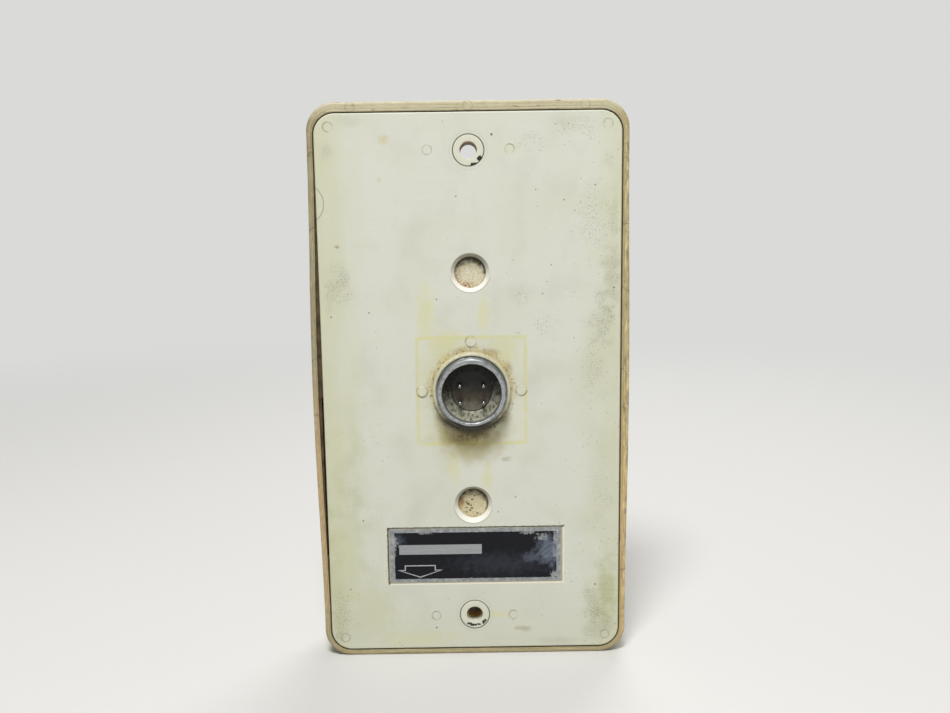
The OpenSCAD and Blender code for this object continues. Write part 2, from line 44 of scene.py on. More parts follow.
# camera fitted to the plate's corners, the holes and the receptacle
cameraPlace = {"at": (0.000287, -0.339589, 0.064309), "tilt": 8.657, "pan": -0.185, "roll": -0.8, "lens": 36.0}
camera = bpy.data.objects.new("camera", bpy.data.cameras.new("camera"))
bpy.context.collection.objects.link(camera)
camera.data.sensor_fit = "HORIZONTAL"
camera.data.sensor_width = 36.0
camera.data.lens = cameraPlace["lens"]
camera.data.clip_start = 0.01
camera.matrix_world = (
    Matrix.Translation(cameraPlace["at"])
    @ Matrix.Rotation(math.radians(cameraPlace["pan"]), 4, "Z")
    @ Matrix.Rotation(math.radians(90 - cameraPlace["tilt"]), 4, "X")
    @ Matrix.Rotation(math.radians(cameraPlace["roll"]), 4, "Z")
)
bpy.context.scene.camera = camera
bpy.context.scene.view_settings.view_transform = "Standard"
print("camera set")


def linear(hexColour):
    channels = [int(hexColour[i:i + 2], 16) / 255 for i in (1, 3, 5)]
    return [c / 12.92 if c <= 0.04045 else ((c + 0.055) / 1.055) ** 2.4 for c in channels] + [1.0]


# adds a node of a kind, or kind:operation, with inputs by order or by name, as links, plain values or hex colours
# and gives back its first output in use, or the ones that are asked for
def addNode(tree, kind, inputs=(), out=None, **settings):
    kind, _, operation = kind.partition(":")
    node = tree.nodes.new("ShaderNode" + kind)
    if operation:
        node.operation = operation
    for name, value in settings.items():
        setattr(node, name, value)
    for key, value in inputs.items() if isinstance(inputs, dict) else enumerate(inputs):
        if isinstance(value, bpy.types.NodeSocket):
            tree.links.new(value, node.inputs[key])
        else:
            node.inputs[key].default_value = linear(value) if isinstance(value, str) else value
    if out:
        return [node.outputs[name] for name in out]
    return next((socket for socket in node.outputs if socket.enabled), None)


# every finish starts the same way: its own node adder, and the place on the antenna in millimetres
def startFinish(name):
    material = bpy.data.materials.new(name)
    material.use_nodes = True
    material.node_tree.nodes.clear()
    add = functools.partial(addNode, material.node_tree)
    mm = add("VectorMath:SCALE", {0: add("TexCoord", out=["Object"])[0], "Scale": 1000.0})
    return material, add, mm


# and ends the same way: one shader with its links and constants
def shade(add, sockets):
    add("OutputMaterial", (add("BsdfPrincipled", sockets),))


# uneven signal about zero, with features of a size in millimetres, drawn out by a stretch in x, y and z
def unevenness(add, mm, size, stretch=(1, 1, 1), detail=4.0):
    scale = [1 / (size * s) for s in stretch]
    where = add("Mapping", {"Vector": mm, "Scale": scale})
    cloud = add("TexNoise", {"Vector": where, "Scale": 1.0, "Detail": detail})
    return add("Math:SUBTRACT", (cloud, 0.5))


# how far a signal is from a level, either way
def offLevel(add, signal, level):
    apart = add("Math:SUBTRACT", (signal, level))
    return add("Math:ABSOLUTE", (apart,))


# joins several signals into one
def fold(add, operation, signals):
    return functools.reduce(lambda a, b: add("Math:" + operation, (a, b)), signals)


# mask: a signal mapped between limits, kept to where other masks allow it
def maskFrom(add, ramp, *others):
    return fold(add, "MULTIPLY", [add("MapRange", ramp), *others])


# stain on the face: strongest at its middle, with an edge that the unevenness breaks up
def stain(add, mm, rough, middle, reach, strength, ragged=1.2, core=0.15, grit=None):
    spread = add("Mapping", {
        "Vector": mm, "Scale": (1 / reach[0], 0, 1 / reach[1]),
        "Location": (-middle[0] / reach[0], 0, -middle[1] / reach[1]),
    })
    away = add("VectorMath:LENGTH", (spread,))
    torn = add("Math:MULTIPLY_ADD", (rough, ragged, away))
    mask = add("MapRange", (torn, core, 1.0, strength, 0.0), interpolation_type="SMOOTHSTEP")
    return mask if grit is None else add("Math:MULTIPLY", (mask, grit))


# lays tints over a colour one by one
def laidOver(add, look, colour, masks):
    for mask, tint in masks:
        colour = add("Mix", {0: mask, 6: colour, 7: look[tint]}, data_type="RGBA")
    return colour


# lying millimetres (across, along, out of the face) to the row frame in metres
def row(x, y, z):
    return Vector((x, -z, y)) / 1000


def roundRing(x, y, radius, z, steps):
    return [
        row(x + radius * math.cos(2 * math.pi * i / steps), y + radius * math.sin(2 * math.pi * i / steps), z)
        for i in range(steps)
    ]


outlineSteps = {"corner": 14, "side": 64, "end": 28}


# plan outline with round corners and bowed long sides, counter-clockwise
def bowedOutline(halfWidth, low, top, radius, leftBow=0.0, rightBow=0.0):
    half = (top - low) / 2 - radius
    middle = (low + top) / 2
    points = []

    def corner(x, y, start):
        for i in range(outlineSteps["corner"] + 1):
            a = math.radians(start + 90 * i / outlineSteps["corner"])
            points.append((x + radius * math.cos(a), y + radius * math.sin(a)))

    def end(y, sign):
        for i in range(1, outlineSteps["end"]):
            points.append((sign * (halfWidth - radius) * (1 - 2 * i / outlineSteps["end"]), y))

    def side(sign, bow):
        for i in range(1, outlineSteps["side"]):
            y = -sign * half * (1 - 2 * i / outlineSteps["side"])
            points.append((sign * (halfWidth + bow * math.cos(math.pi / 2 * y / half) ** 2), middle + y))

    corner(halfWidth - radius, top - radius, 0)
    end(top, 1)
    corner(radius - halfWidth, top - radius, 90)
    side(-1, leftBow)
    corner(radius - halfWidth, low + radius, 180)
    end(low, -1)
    corner(halfWidth - radius, low + radius, 270)
    side(1, rightBow)
    return points


def loft(bm, rings, closed=False):
    rows = [[bm.verts.new(point) for point in ring] for ring in rings]
    for low, high in zip(rows, rows[1:] + rows[:1] if closed else rows[1:]):
        for i in range(len(low)):
            j = (i + 1) % len(low)
            bm.faces.new((low[i], low[j], high[j], high[i]))
    return rows


def insideLoop(point, loop):
    inside = False
    for a, b in zip(loop, loop[1:] + loop[:1]):
        if (a[1] > point[1]) != (b[1] > point[1]):
            if point[0] < (b[0] - a[0]) * (point[1] - a[1]) / (b[1] - a[1]) + a[0]:
                inside = not inside
    return inside


# closes a face between an outline and its holes, with a grid of points where the face is curved
def closeFace(bm, outline, holes=(), spacing=None, height=None):
    loops = [outline, *holes]
    known = [vert for loop in loops for vert in loop]
    flat = [Vector((vert.co.x, vert.co.z)) * 1000 for vert in known]
    plans = [[(vert.co.x * 1000, vert.co.z * 1000) for vert in loop] for loop in loops]
    edges = []
    start = 0
    for loop in loops:
        edges += [(start + i, start + (i + 1) % len(loop)) for i in range(len(loop))]
        start += len(loop)
    if spacing:
        xs = [p[0] for p in plans[0]]
        ys = [p[1] for p in plans[0]]
        for i in range(int((max(xs) - min(xs)) / spacing)):
            for j in range(int((max(ys) - min(ys)) / spacing)):
                point = (min(xs) + spacing * (i + 0.5), min(ys) + spacing * (j + 0.5))
                near = min((Vector(point) - p).length for p in flat[:len(known)])
                if near > 0.6 * spacing and insideLoop(point, plans[0]):
                    if not any(insideLoop(point, plan) for plan in plans[1:]):
                        flat.append(Vector(point))
    coords, _, faces, origin, _, _ = delaunay_2d_cdt(flat, edges, [], 1, 1e-6)
    verts = []
    for coord, source in zip(coords, origin):
        if source and source[0] < len(known):
            verts.append(known[source[0]])
        else:
            verts.append(bm.verts.new(row(coord.x, coord.y, height(coord.x, coord.y))))
    for face in faces:
        middle = sum((coords[i] for i in face), Vector((0, 0))) / len(face)
        if not any(insideLoop(middle, plan) for plan in plans[1:]):
            bm.faces.new([verts[i] for i in face])


# turns a mesh into a piece that stands for a node
def finishPiece(name, bm, finishes, node, sharp=38):
    bmesh.ops.recalc_face_normals(bm, faces=bm.faces)
    mesh = bpy.data.meshes.new(name)
    bm.to_mesh(mesh)
    bm.free()
    mesh.shade_smooth()
    mesh.set_sharp_from_angle(angle=math.radians(sharp))
    piece = bpy.data.objects.new(name, mesh)
    bpy.context.collection.objects.link(piece)
    for finish in finishes:
        mesh.materials.append(finish)
    weighted = piece.modifiers.new("weighted", "WEIGHTED_NORMAL")
    weighted.keep_sharp = True
    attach(piece, "root")
    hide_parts(node)
    return piece


# heights and places that several pieces share, in millimetres
shared = {
    "mountUp": 85.725, "fillUp": 42.9, "labelMiddle": (0.5, -62.4), "pocketHalf": (32.55, 10.85), "plateBack": -3.6,
}


# Yellowed ABS, moulded: a warm tan satin skin, drawn in streaks along the rim, with handling dirt and hair cracks
rimLook = {
    "base": "#b5a980", "pale": "#cac3a0", "streak": "#8f7e53", "dirt": "#5f5133", "crack": "#3a2f1e",
    "clean": "#cfc9ab", "left": "#8f8a73", "honey": "#cdae76", "ruddy": "#c2a377", "worn": "#dfcb8f",
    "rubbed": "#7f7b6a", "light": "#d6caa2", "cloudy": "#c3bb97", "scuff": "#e4dec5",
    "markRadius": 1.65, "marks": [(41.0, 101.0), (0.0, 101.0), (55.5, 85.7), (55.5, -85.7)],
    "cracks": [(-1, 84.5, 0.25), (-1, 59.0, -0.1), (-1, 12.5, 0.5), (-1, -8.0, 0.2), (1, 82.0, 0.1), (1, 59.5, 0.3),
               (1, 36.0, -0.2), (1, -6.5, 0.6), (1, 6.0, -0.3), (1, -68.5, 0.15)],
}


def makeRimFinish():
    look = rimLook
    material, add, mm = startFinish("abs_moulded_yellowed")
    across, along = [add("Attribute", out=["Fac"], attribute_name=name)[0] for name in ("across", "along")]
    lane = add("CombineXYZ", (along, across))
    # streaks, flecks, patches and mottles run along the rim, each kind with its own length in millimetres
    streak, fleck, patch, mottle = [
        add("TexNoise", {
            "Vector": add("Mapping", {"Vector": lane, "Scale": (1 / length, narrow, 1)}),
            "Scale": 1.0, "Detail": detail, "Roughness": breakUp,
        })
        for length, narrow, detail, breakUp in (
            (22, 4.5, 5.0, 0.65), (3.5, 3.0, 4.0, 0.5), (6, 2.2, 6.0, 0.62), (3, 2.2, 5.0, 0.6))]
    streakMask = add("MapRange", (streak, 0.45, 0.7, 0.0, 0.7))
    paleMask = add("MapRange", (streak, 0.5, 0.3, 0.0, 0.8))
    cloud = unevenness(add, mm, 9.0)
    fine = unevenness(add, mm, 1.2)
    axes = add("SeparateXYZ", (mm,), out="XYZ")
    # painted light: the aft end, at the top, is painted paler as if lit from above
    aft = add("MapRange", (axes[2], 96.5, 100.5, 0.0, 0.65))
    # dirt in the shallow groove, a third of the way across the rim
    groove = offLevel(add, across, 0.36)
    grooveBreak = add("MapRange", (cloud, -0.1, 0.12, 0.25))
    grooveMask = maskFrom(add, (groove, 0.015, 0.07, 0.7, 0.0), grooveBreak)
    innerMask = add("MapRange", (across, 0.02, 0.14, 0.6, 0.0))
    edgeMask = add("MapRange", (across, 0.85, 1.05, 0.0, 0.45))
    edgeBreak = add("Math:MULTIPLY", (edgeMask, grooveBreak))
    # hair cracks run across the rim
    cracks = []
    bend = unevenness(add, mm, 3.5, detail=2.0)
    wander = add("Math:MULTIPLY_ADD", (bend, 7.0, fine))
    for sign, up, slope in look["cracks"]:
        line = add("Math:ADD", (add("Math:MULTIPLY_ADD", (axes[0], -slope, axes[2])), wander))
        near = offLevel(add, line, up - slope * sign * 56)
        onSide = add("Math:GREATER_THAN" if sign > 0 else "Math:LESS_THAN", (axes[0], sign * 53.0))
        thin = maskFrom(add, (near, 0.06, 0.26, 0.6, 0.0), onSide)
        cracks.append(thin)
    cracks = fold(add, "MAXIMUM", cracks)
    # all this stays on the face of the rim and fades out round its edge
    front = add("MapRange", (add("Math:MULTIPLY_ADD", (fine, 1.2, axes[1])), 1.9, 0.6))
    cracks = add("Math:MULTIPLY", (cracks, front))
    # dark flecks where the edge is scraped, and ejector marks on the aft end
    fleckMask = maskFrom(add, (fleck, 0.62, 0.7, 0.0, 0.6), front)
    foldX = add("Math:ABSOLUTE", (axes[0],))
    folded = add("CombineXYZ", {0: foldX, 2: axes[2]})
    marks = fold(add, "MINIMUM", [
        offLevel(add, add("VectorMath:DISTANCE", (folded, (x, 0, z))), look["markRadius"])
        for x, z in look["marks"]])
    markMask = maskFrom(add, (marks, 0.05, 0.3, 0.3, 0.0), front)
    upper = add("MapRange", (axes[2], -45.0, 20.0, 0.15))
    leftSide = maskFrom(add, (axes[0], -50.0, -56.0, 0.0, 0.6), upper)
    # the right side is yellower low down, and its outer half is worn pale and rubbed grey in patches
    rightSide = maskFrom(add, (axes[0], 53.0, 55.5), front)
    honey = maskFrom(add, (axes[2], 30.0, -40.0, 0.15, 0.75), rightSide)
    # the forward half of the left side is clean and reddish
    ruddyDown = add("MapRange", (axes[2], 15.0, -20.0))
    offCorner = add("MapRange", (axes[2], -93.0, -78.0))
    ruddy = maskFrom(add, (axes[0], -53.0, -55.0, 0.0, 0.65), ruddyDown, front, offCorner)
    outerHalf = add("MapRange", (across, 0.4, 0.5, 0.12))
    patchZone = add("Math:MULTIPLY", (rightSide, outerHalf))
    wornMask = maskFrom(add, (patch, 0.53, 0.6, 0.0, 0.85), patchZone)
    rubbedMask = maskFrom(add, (patch, 0.44, 0.38, 0.0, 0.8), patchZone)
    # fine mottling all over the rim, and a second thin line near its outer edge
    mottleLight = add("MapRange", (mottle, 0.5, 0.7, 0.0, 0.35))
    mottleDark = add("MapRange", (mottle, 0.48, 0.3, 0.0, 0.25))
    outerLine = maskFrom(add, (offLevel(add, across, 0.8), 0.02, 0.09, 0.55, 0.0), grooveBreak)
    colour = laidOver(add, look, look["base"], [
        (paleMask, "pale"), (leftSide, "left"), (streakMask, "streak"), (edgeBreak, "streak"), (innerMask, "dirt"),
        (aft, "clean"), (honey, "honey"), (ruddy, "ruddy"), (outerLine, "streak"), (mottleLight, "light"),
        (mottleDark, "streak"), (rubbedMask, "rubbed"), (wornMask, "worn"), (grooveMask, "dirt"), (fleckMask, "dirt"),
        (markMask, "dirt"), (cracks, "crack"),
    ])
    # the outer skin is even: broad clouds, fine slanting scuffs, rubbed edges and dirt in the screw wells
    clouds = unevenness(add, mm, 34.0, detail=7.0)
    cloudMask = add("MapRange", (clouds, -0.1, 0.15, 0.0, 0.7))
    mottled = add("MapRange", (fine, -0.02, 0.2, 0.0, 0.3))
    slanted = add("Mapping", {"Vector": mm, "Rotation": (0, math.radians(28), 0)})
    scuff = unevenness(add, slanted, 0.4, stretch=(45, 45, 1), detail=2.0)
    scuffPlace = add("MapRange", (cloud, 0.0, 0.12))
    scuff = maskFrom(add, (scuff, 0.12, 0.19, 0.0, 0.6), scuffPlace)
    crownEdge = maskFrom(add, (offLevel(add, across, 2.05), 0.05, 0.4, 0.3, 0.0), scuffPlace)
    foldZ = add("Math:ABSOLUTE", (axes[2],))
    ends = add("CombineXYZ", {0: foldX, 2: foldZ})
    well = add("Math:MULTIPLY_ADD", (cloud, 4.0, add("VectorMath:DISTANCE", (ends, (0, 0, shared["mountUp"])))))
    well = add("MapRange", (well, 7.2, 9.2, 0.6, 0.0))
    skin = laidOver(add, look, look["clean"], [
        (cloudMask, "cloudy"), (mottled, "pale"), (crownEdge, "scuff"), (scuff, "scuff"), (well, "streak")])
    colour = add("Mix", {0: front, 6: skin, 7: colour}, data_type="RGBA")
    lift = add("Math:MULTIPLY_ADD", (cracks, -1.5, fine))
    shade(add, {
        "Base Color": colour,
        "Roughness": add("MapRange", (fine, -0.25, 0.25, 0.42, 0.62)),
        "Normal": add("Bump", {"Height": lift, "Strength": 0.25, "Distance": 0.0002}),
        "IOR": 1.53,
    })
    return material


housingShape = {
    "halfWidth": 56.55, "low": -101.3, "top": 102.7, "corner": 9.9, "leftBow": 1.3, "rightBow": 0.8,
    "openHalfWidth": 54.45, "openHalfLength": 99.3, "openCorner": 7.8, "ledge": 2.0,
    "crownOut": -26.4, "crownRadius": 8.0, "crownStop": 86, "dome": 1.6, "roof": -23.8, "edge": 0.8, "draft": 0.307,
    "wellRadius": 7.5, "wellFloor": -21.4, "bossTop": -18.9, "bossRadius": 10.0, "screwRadius": 3.2,
    "boardBosses": (38.0, -47.8625, 19.0), "boardSeat": -15.6, "postRadius": 3.2, "postBore": 1.4, "postDeep": 5.0,
    # how far across the rim, and how high there
    "rimProfile": [
        (0.03, -0.1), (0.09, 0.0), (0.2, 0.0), (0.3, 0.0), (0.36, -0.07), (0.42, 0.0), (0.6, 0.0), (0.8, 0.0)],
    # radius of the screw well's mouth, and how far it lies under the crown
    "wellLip": [(7.75, 0.0), (7.6, 0.1), (7.5, 0.4)], "chamfer": 0.3,
    "wave": 0.07,
}


# how far the crowned face starts in from the wall
def skinInset(s):
    return s["draft"] + s["crownRadius"] * (1 - math.cos(math.radians(s["crownStop"])))


def makeHousing(finish):
    s = housingShape
    bm = bmesh.new()
    acrossLayer = bm.verts.layers.float.new("across")
    alongLayer = bm.verts.layers.float.new("along")

    def outer(inset):
        return bowedOutline(
            s["halfWidth"] - inset, s["low"] + inset, s["top"] - inset, s["corner"] - inset,
            s["leftBow"], s["rightBow"])

    def opening(inset):
        return bowedOutline(
            s["openHalfWidth"] - inset, inset - s["openHalfLength"], s["openHalfLength"] - inset,
            s["openCorner"] - inset, s["leftBow"])

    inner = opening(0)
    rimOuter = outer(s["edge"])
    ledge = opening(s["ledge"])
    # each ring of the skin has a height and a place across the rim, from inside to outside
    skin = [
        (ledge, s["roof"], -1.0), (ledge, shared["plateBack"], -0.8), (inner, shared["plateBack"], -0.5),
        (inner, -1.6, -0.2), (inner, -0.3, 0.0)]
    for share, z in s["rimProfile"]:
        ring = [(a[0] + share * (b[0] - a[0]), a[1] + share * (b[1] - a[1])) for a, b in zip(inner, rimOuter)]
        skin.append((ring, z, share))
    for angle in (90, 70, 50, 30, 12, 0):
        a = math.radians(angle)
        skin.append((outer(s["edge"] * (1 - math.cos(a))), s["edge"] * (math.sin(a) - 1), 1.0 + (90 - angle) / 300))
    for share in (0.2, 0.5, 0.8):
        wallEnd = s["crownOut"] + s["crownRadius"]
        skin.append((outer(s["draft"] * share), -s["edge"] + share * (wallEnd + s["edge"]), 1.5))
    for i in range(10):
        a = math.radians(s["crownStop"] * i / 9)
        skin.append((outer(s["draft"] + s["crownRadius"] * (1 - math.cos(a))),
                     s["crownOut"] + s["crownRadius"] * (1 - math.sin(a)), 2.0))
    # the moulded rim isn't quite true
    rings = []
    for outline, z, across in skin:
        shake = s["wave"] if -0.3 < across < 1.4 else 0.0
        rings.append([
            row(x + shake * noise.noise((x * 0.09, y * 0.09, 3.1)), y + shake * noise.noise((x * 0.09, y * 0.09, 8.7)),
                z + 0.6 * shake * noise.noise((x * 0.12, y * 0.12, 5.0 + across)))
            for x, y in outline])
    rows = loft(bm, rings)
    lengths = [0.0]
    for a, b in zip(rimOuter, rimOuter[1:]):
        lengths.append(lengths[-1] + math.dist(a, b))
    for ring, (_, _, across) in zip(rows, skin):
        for vert, length in zip(ring, lengths):
            vert[acrossLayer] = across
            vert[alongLayer] = length

    middle = (s["low"] + s["top"]) / 2
    plan = outer(skinInset(s))

    def crownHeight(x, y):
        share = math.sqrt((x / plan[0][0]) ** 4 + ((y - middle) / (s["top"] - middle - skinInset(s))) ** 4)
        return s["crownOut"] - s["dome"] * (1 - min(1.0, share))

    wells = []
    roofHoles = []
    for end in (1, -1):
        y = end * shared["mountUp"]
        profile = [(radius, crownHeight(0, y) + under) for radius, under in s["wellLip"]]
        profile += [
            (s["wellRadius"], s["wellFloor"] - s["chamfer"]), (s["wellRadius"] - s["chamfer"], s["wellFloor"]),
            (s["screwRadius"] + s["chamfer"], s["wellFloor"]), (s["screwRadius"], s["wellFloor"] + s["chamfer"]),
            (s["screwRadius"], s["bossTop"]), (s["bossRadius"], s["bossTop"]), (s["bossRadius"], s["roof"])]
        well = [roundRing(0, y, radius, z, 64) for radius, z in profile]
        well[0] = [Vector((p.x, -crownHeight(p.x * 1000, p.z * 1000) / 1000, p.z)) for p in well[0]]
        ringRows = loft(bm, well)
        wells.append(ringRows[0])
        roofHoles.append(ringRows[-1])
    closeFace(bm, rows[-1], wells, spacing=4.0, height=crownHeight)
    closeFace(bm, rows[0], roofHoles)
    # posts that the board is screwed to
    x, y, up = s["boardBosses"]
    for sideSign in (1, -1):
        for endSign in (1, -1):
            post = loft(bm, [roundRing(sideSign * x, y + endSign * up, radius, z, 24) for radius, z in (
                (s["postRadius"], s["roof"] - 0.2), (s["postRadius"], s["boardSeat"]),
                (s["postBore"], s["boardSeat"]), (s["postBore"], s["boardSeat"] - s["postDeep"]))])
            closeFace(bm, post[0])
            closeFace(bm, post[-1])
    rim = {vert for ring in rows for vert in ring}
    for vert in bm.verts:
        if vert not in rim:
            vert[acrossLayer] = 2.5
    return finishPiece("housing_shell", bm, [finish], "housing")


makeHousing(makeRimFinish())
print("housing made")

# Painted ABS, moulded: an even cream satin face with fine grain, yellowed and smeared where it was handled
plateLook = {
    "base": "#dadbcf", "warm": "#d2d3c0", "yellow": "#cdcdaa", "green": "#b3b584", "grimeAndShade": "#524720",
    "brown": "#92824a", "grey": "#a3a490", "dust": "#9c9a78", "speck": "#3d3a31", "ghost": "#d7d49c",
    "line": "#77745f", "rust": "#5e4a22", "paintedLipHighlight": "#f1ebd6", "shade": "#6f684e", "amber": "#cdb87c", "tan": "#cdc59b",
    "tarAndShadow": "#2e2618", "paintedHighlight": "#f0efe6", "collar": "#cdc7a6", "pepper": "#77735b", "olive": "#aea154",
    "ghostHalf": 20.0, "grainSize": 0.7, "markRadius": 1.65,
}


def makePlateFinish():
    look = plateLook
    material, add, mm = startFinish("abs_moulded_painted_cream")
    axes = add("SeparateXYZ", (mm,), out="XYZ")
    broad = unevenness(add, mm, 26.0)
    rough = unevenness(add, mm, 4.0, detail=6.0)
    fine = unevenness(add, mm, 1.1, detail=6.0)
    smear = unevenness(add, mm, 5.0, stretch=(1, 1, 6), detail=5.0)
    grain = unevenness(add, mm, look["grainSize"], detail=2.0)
    # warmer in broad clouds, yellower down both long edges
    warm = add("MapRange", (broad, -0.02, 0.16, 0.0, 0.6))
    leftEdge = add("Math:MULTIPLY_ADD", (broad, 22.0, add("Math:MULTIPLY_ADD", (smear, 14.0, axes[0]))))
    leftMask = add("MapRange", (leftEdge, -34.0, -56.0, 0.0, 0.75), interpolation_type="SMOOTHSTEP")
    rightMask = add("MapRange", (leftEdge, 36.0, 58.0, 0.0, 0.6), interpolation_type="SMOOTHSTEP")
    lowEdge = add("Math:MULTIPLY_ADD", (rough, 14.0, axes[2]))
    lowMask = add("MapRange", (lowEdge, -68.0, -98.0, 0.0, 0.75))
    topMask = add("MapRange", (lowEdge, 92.0, 99.0, 0.0, 0.35))
    # thin film of dirt, mottled
    film = unevenness(add, mm, 14.0, detail=8.0)
    filmMask = add("MapRange", (film, 0.0, 0.2, 0.0, 0.15))
    mottled = add("MapRange", (fine, -0.25, 0.25, 0.0, 0.35))
    masks = [
        (mottled, "warm"), (warm, "warm"), (filmMask, "grey"), (lowMask, "warm"), (topMask, "warm"),
        (leftMask, "yellow"), (rightMask, "yellow")]
    # greenish bloom low on the left, in clouds
    bloom = unevenness(add, mm, 8.0, detail=8.0)
    bloomPlace = stain(add, mm, rough, (-50.0, -48.0), (26.0, 62.0), 1.0, 0.8)
    masks.append((maskFrom(add, (bloom, -0.03, 0.14, 0.0, 0.45), bloomPlace), "green"))
    # yellow bands that bleed from the bond behind the plate
    for middle, reach, strength in (
        ((-16.0, 28.5), (5.0, 14.0), 0.6), ((4.5, 27.5), (3.2, 11.0), 0.5), ((-8.5, 17.5), (9.0, 6.0), 0.7),
        ((12.0, 15.0), (7.0, 7.0), 0.5), ((-6.8, -28.0), (3.5, 9.0), 0.5), ((5.4, -33.0), (2.8, 10.0), 0.5),
        ((-15.0, 5.0), (6.0, 12.0), 0.3), ((-22.0, -95.0), (20.0, 5.0), 0.35), ((7.5, -86.0), (9.0, 1.8), 0.5),
        ((15.0, 86.0), (4.5, 3.0), 0.3),
    ):
        masks.append((stain(add, mm, rough, middle, reach, strength), "ghost"))
    # outline of the square rib behind the plate
    foldX = add("Math:ABSOLUTE", (axes[0],))
    foldZ = add("Math:ABSOLUTE", (axes[2],))
    square = offLevel(add, add("Math:SMOOTH_MAX", (foldX, foldZ, 2.5)), look["ghostHalf"] - 0.4)
    squareBreak = add("MapRange", (rough, -0.2, 0.1, 0.35))
    masks.append((maskFrom(add, (square, 0.2, 0.95, 1.0, 0.0), squareBreak), "ghost"))
    within = add("Math:MAXIMUM", (foldX, foldZ))
    masks.append((add("MapRange", (within, 20.5, 18.5, 0.0, 0.12)), "ghost"))
    # smudges, from the aft end down; the dirt among them lies as fine grit
    sand = unevenness(add, mm, 0.45, detail=1.0)
    grit = add("MapRange", (sand, -0.05, 0.15, 0.3))
    for middle, reach, strength, tint, ragged in (
        ((-41.5, 96.0), (7.0, 3.0), 0.35, "grey", 1.6), ((-50.0, 86.0), (3.0, 4.0), 0.55, "grey", 2.0),
        ((-45.8, 40.5), (4.5, 7.0), 0.5, "grey", 2.0), ((-50.0, 36.0), (3.0, 9.0), 0.3, "dust", 2.0),
        ((50.5, 41.0), (4.5, 17.0), 0.6, "dust", 2.2), ((47.0, 24.0), (5.0, 13.0), 0.4, "dust", 2.4),
        ((49.5, 82.0), (3.0, 6.0), 0.25, "dust", 2.0), ((36.0, 95.6), (8.0, 2.5), 0.25, "dust", 2.0),
        ((51.5, 62.0), (1.8, 16.0), 0.35, "dust", 2.0), ((49.5, -76.0), (6.5, 18.0), 0.7, "green", 1.4),
        ((44.5, -83.0), (5.0, 9.5), 0.5, "dust", 1.2), ((47.0, -91.5), (8.0, 7.0), 0.6, "dust", 1.2),
        ((-49.0, -30.0), (4.0, 22.0), 0.45, "yellow", 1.4), ((-48.0, -62.0), (9.0, 26.0), 0.6, "yellow", 1.4),
        ((-50.5, -86.0), (5.0, 14.0), 0.45, "dust", 1.2), ((-38.0, -84.0), (14.0, 16.0), 0.55, "yellow", 1.4),
        ((18.5, -91.5), (5.0, 1.8), 0.4, "brown", 2.0), ((12.3, -25.7), (2.6, 1.3), 0.4, "brown", 2.0),
        ((-29.6, 89.6), (2.8, 2.3), 0.8, "tan", 1.3), ((-31.6, 75.9), (1.2, 1.4), 0.6, "tan", 0.8),
        ((-47.2, 52.6), (1.6, 0.8), 0.7, "brown", 2.0), ((31.0, -96.6), (14.0, 2.2), 0.35, "dust", 1.0),
        ((-51.5, -94.0), (3.0, 3.0), 0.5, "dust", 2.2), ((17.0, 21.0), (1.6, 0.7), 0.5, "dust", 2.0),
    ):
        edgeNoise = rough if max(reach) > 3 else fine
        gritty = grit if tint in ("grey", "dust") else None
        masks.append((stain(add, mm, edgeNoise, middle, reach, strength, ragged, grit=gritty), tint))
    # pepper of fine dirt that sits in loose clusters
    pepper = add("MapRange", (sand, 0.07, 0.17))
    for middle, reach, strength in (
        ((44.5, 62.0), (9.0, 17.0), 0.6), ((48.0, 27.0), (6.0, 14.0), 0.65), ((44.5, 7.0), (5.0, 13.0), 0.6),
        ((27.0, 24.0), (8.0, 6.0), 0.6), ((22.0, 89.0), (9.0, 5.0), 0.6), ((40.0, 93.0), (10.0, 4.0), 0.6),
        ((19.0, 34.0), (7.0, 5.0), 0.5), ((-46.5, 39.0), (7.0, 10.0), 0.7), ((-44.0, -30.0), (7.0, 15.0), 0.3),
        ((-49.0, -85.0), (7.0, 14.0), 0.55), ((46.0, -82.0), (8.0, 14.0), 0.55), ((47.0, -38.0), (6.0, 15.0), 0.45),
    ):
        masks.append((stain(add, mm, rough, middle, reach, strength, 2.2, grit=pepper), "pepper"))
    # faint marks from wiping, straight across
    wipe = unevenness(add, mm, 0.6, stretch=(45, 1, 1), detail=3.0)
    masks.append((add("MapRange", (wipe, 0.03, 0.2, 0.0, 0.35)), "warm"))
    # grime round the receptacle: a thin brown ring on the collar's foot, and a heavy run below it that is partly
    # painted shadow; olive patches tint the plate yellower below it
    plan = add("Mapping", {"Vector": mm, "Scale": (1, 0, 1)})
    radius = add("VectorMath:LENGTH", (plan,))
    foot = offLevel(add, add("Math:MULTIPLY_ADD", (fine, 2.5, radius)), 14.3)
    masks.append((add("MapRange", (foot, 0.05, 0.9, 0.6, 0.0)), "brown"))
    clot = add("MapRange", (fine, -0.12, 0.1, 0.3))
    for middle, reach, strength, tint in (
        ((-1.0, -16.0), (19.0, 12.0), 0.7, "olive"), ((-1.5, -15.0), (14.0, 8.0), 0.55, "brown"),
        ((0.3, -15.0), (10.0, 3.8), 1.0, "grimeAndShade"), ((0.6, -16.0), (6.5, 3.4), 0.95, "grimeAndShade"),
        ((-4.6, -17.6), (5.0, 3.6), 0.6, "rust"), ((-11.5, -10.5), (4.0, 3.5), 0.45, "brown"),
        ((12.0, -10.0), (3.6, 4.0), 0.45, "brown"), ((-11.0, 12.0), (5.5, 5.5), 0.5, "ghost"),
        ((12.5, 11.0), (5.5, 5.0), 0.4, "ghost"), ((13.2, 8.0), (2.5, 4.0), 0.5, "brown"),
        ((0.0, -22.5), (13.0, 7.0), 0.35, "olive"), ((7.0, 14.0), (5.0, 2.0), 0.5, "brown"),
        ((-4.0, 14.8), (5.0, 1.6), 0.4, "brown"),
    ):
        clotted = clot if tint in ("grimeAndShade", "rust") else None
        masks.append((stain(add, mm, rough, middle, reach, strength, 0.7, grit=clotted), tint))
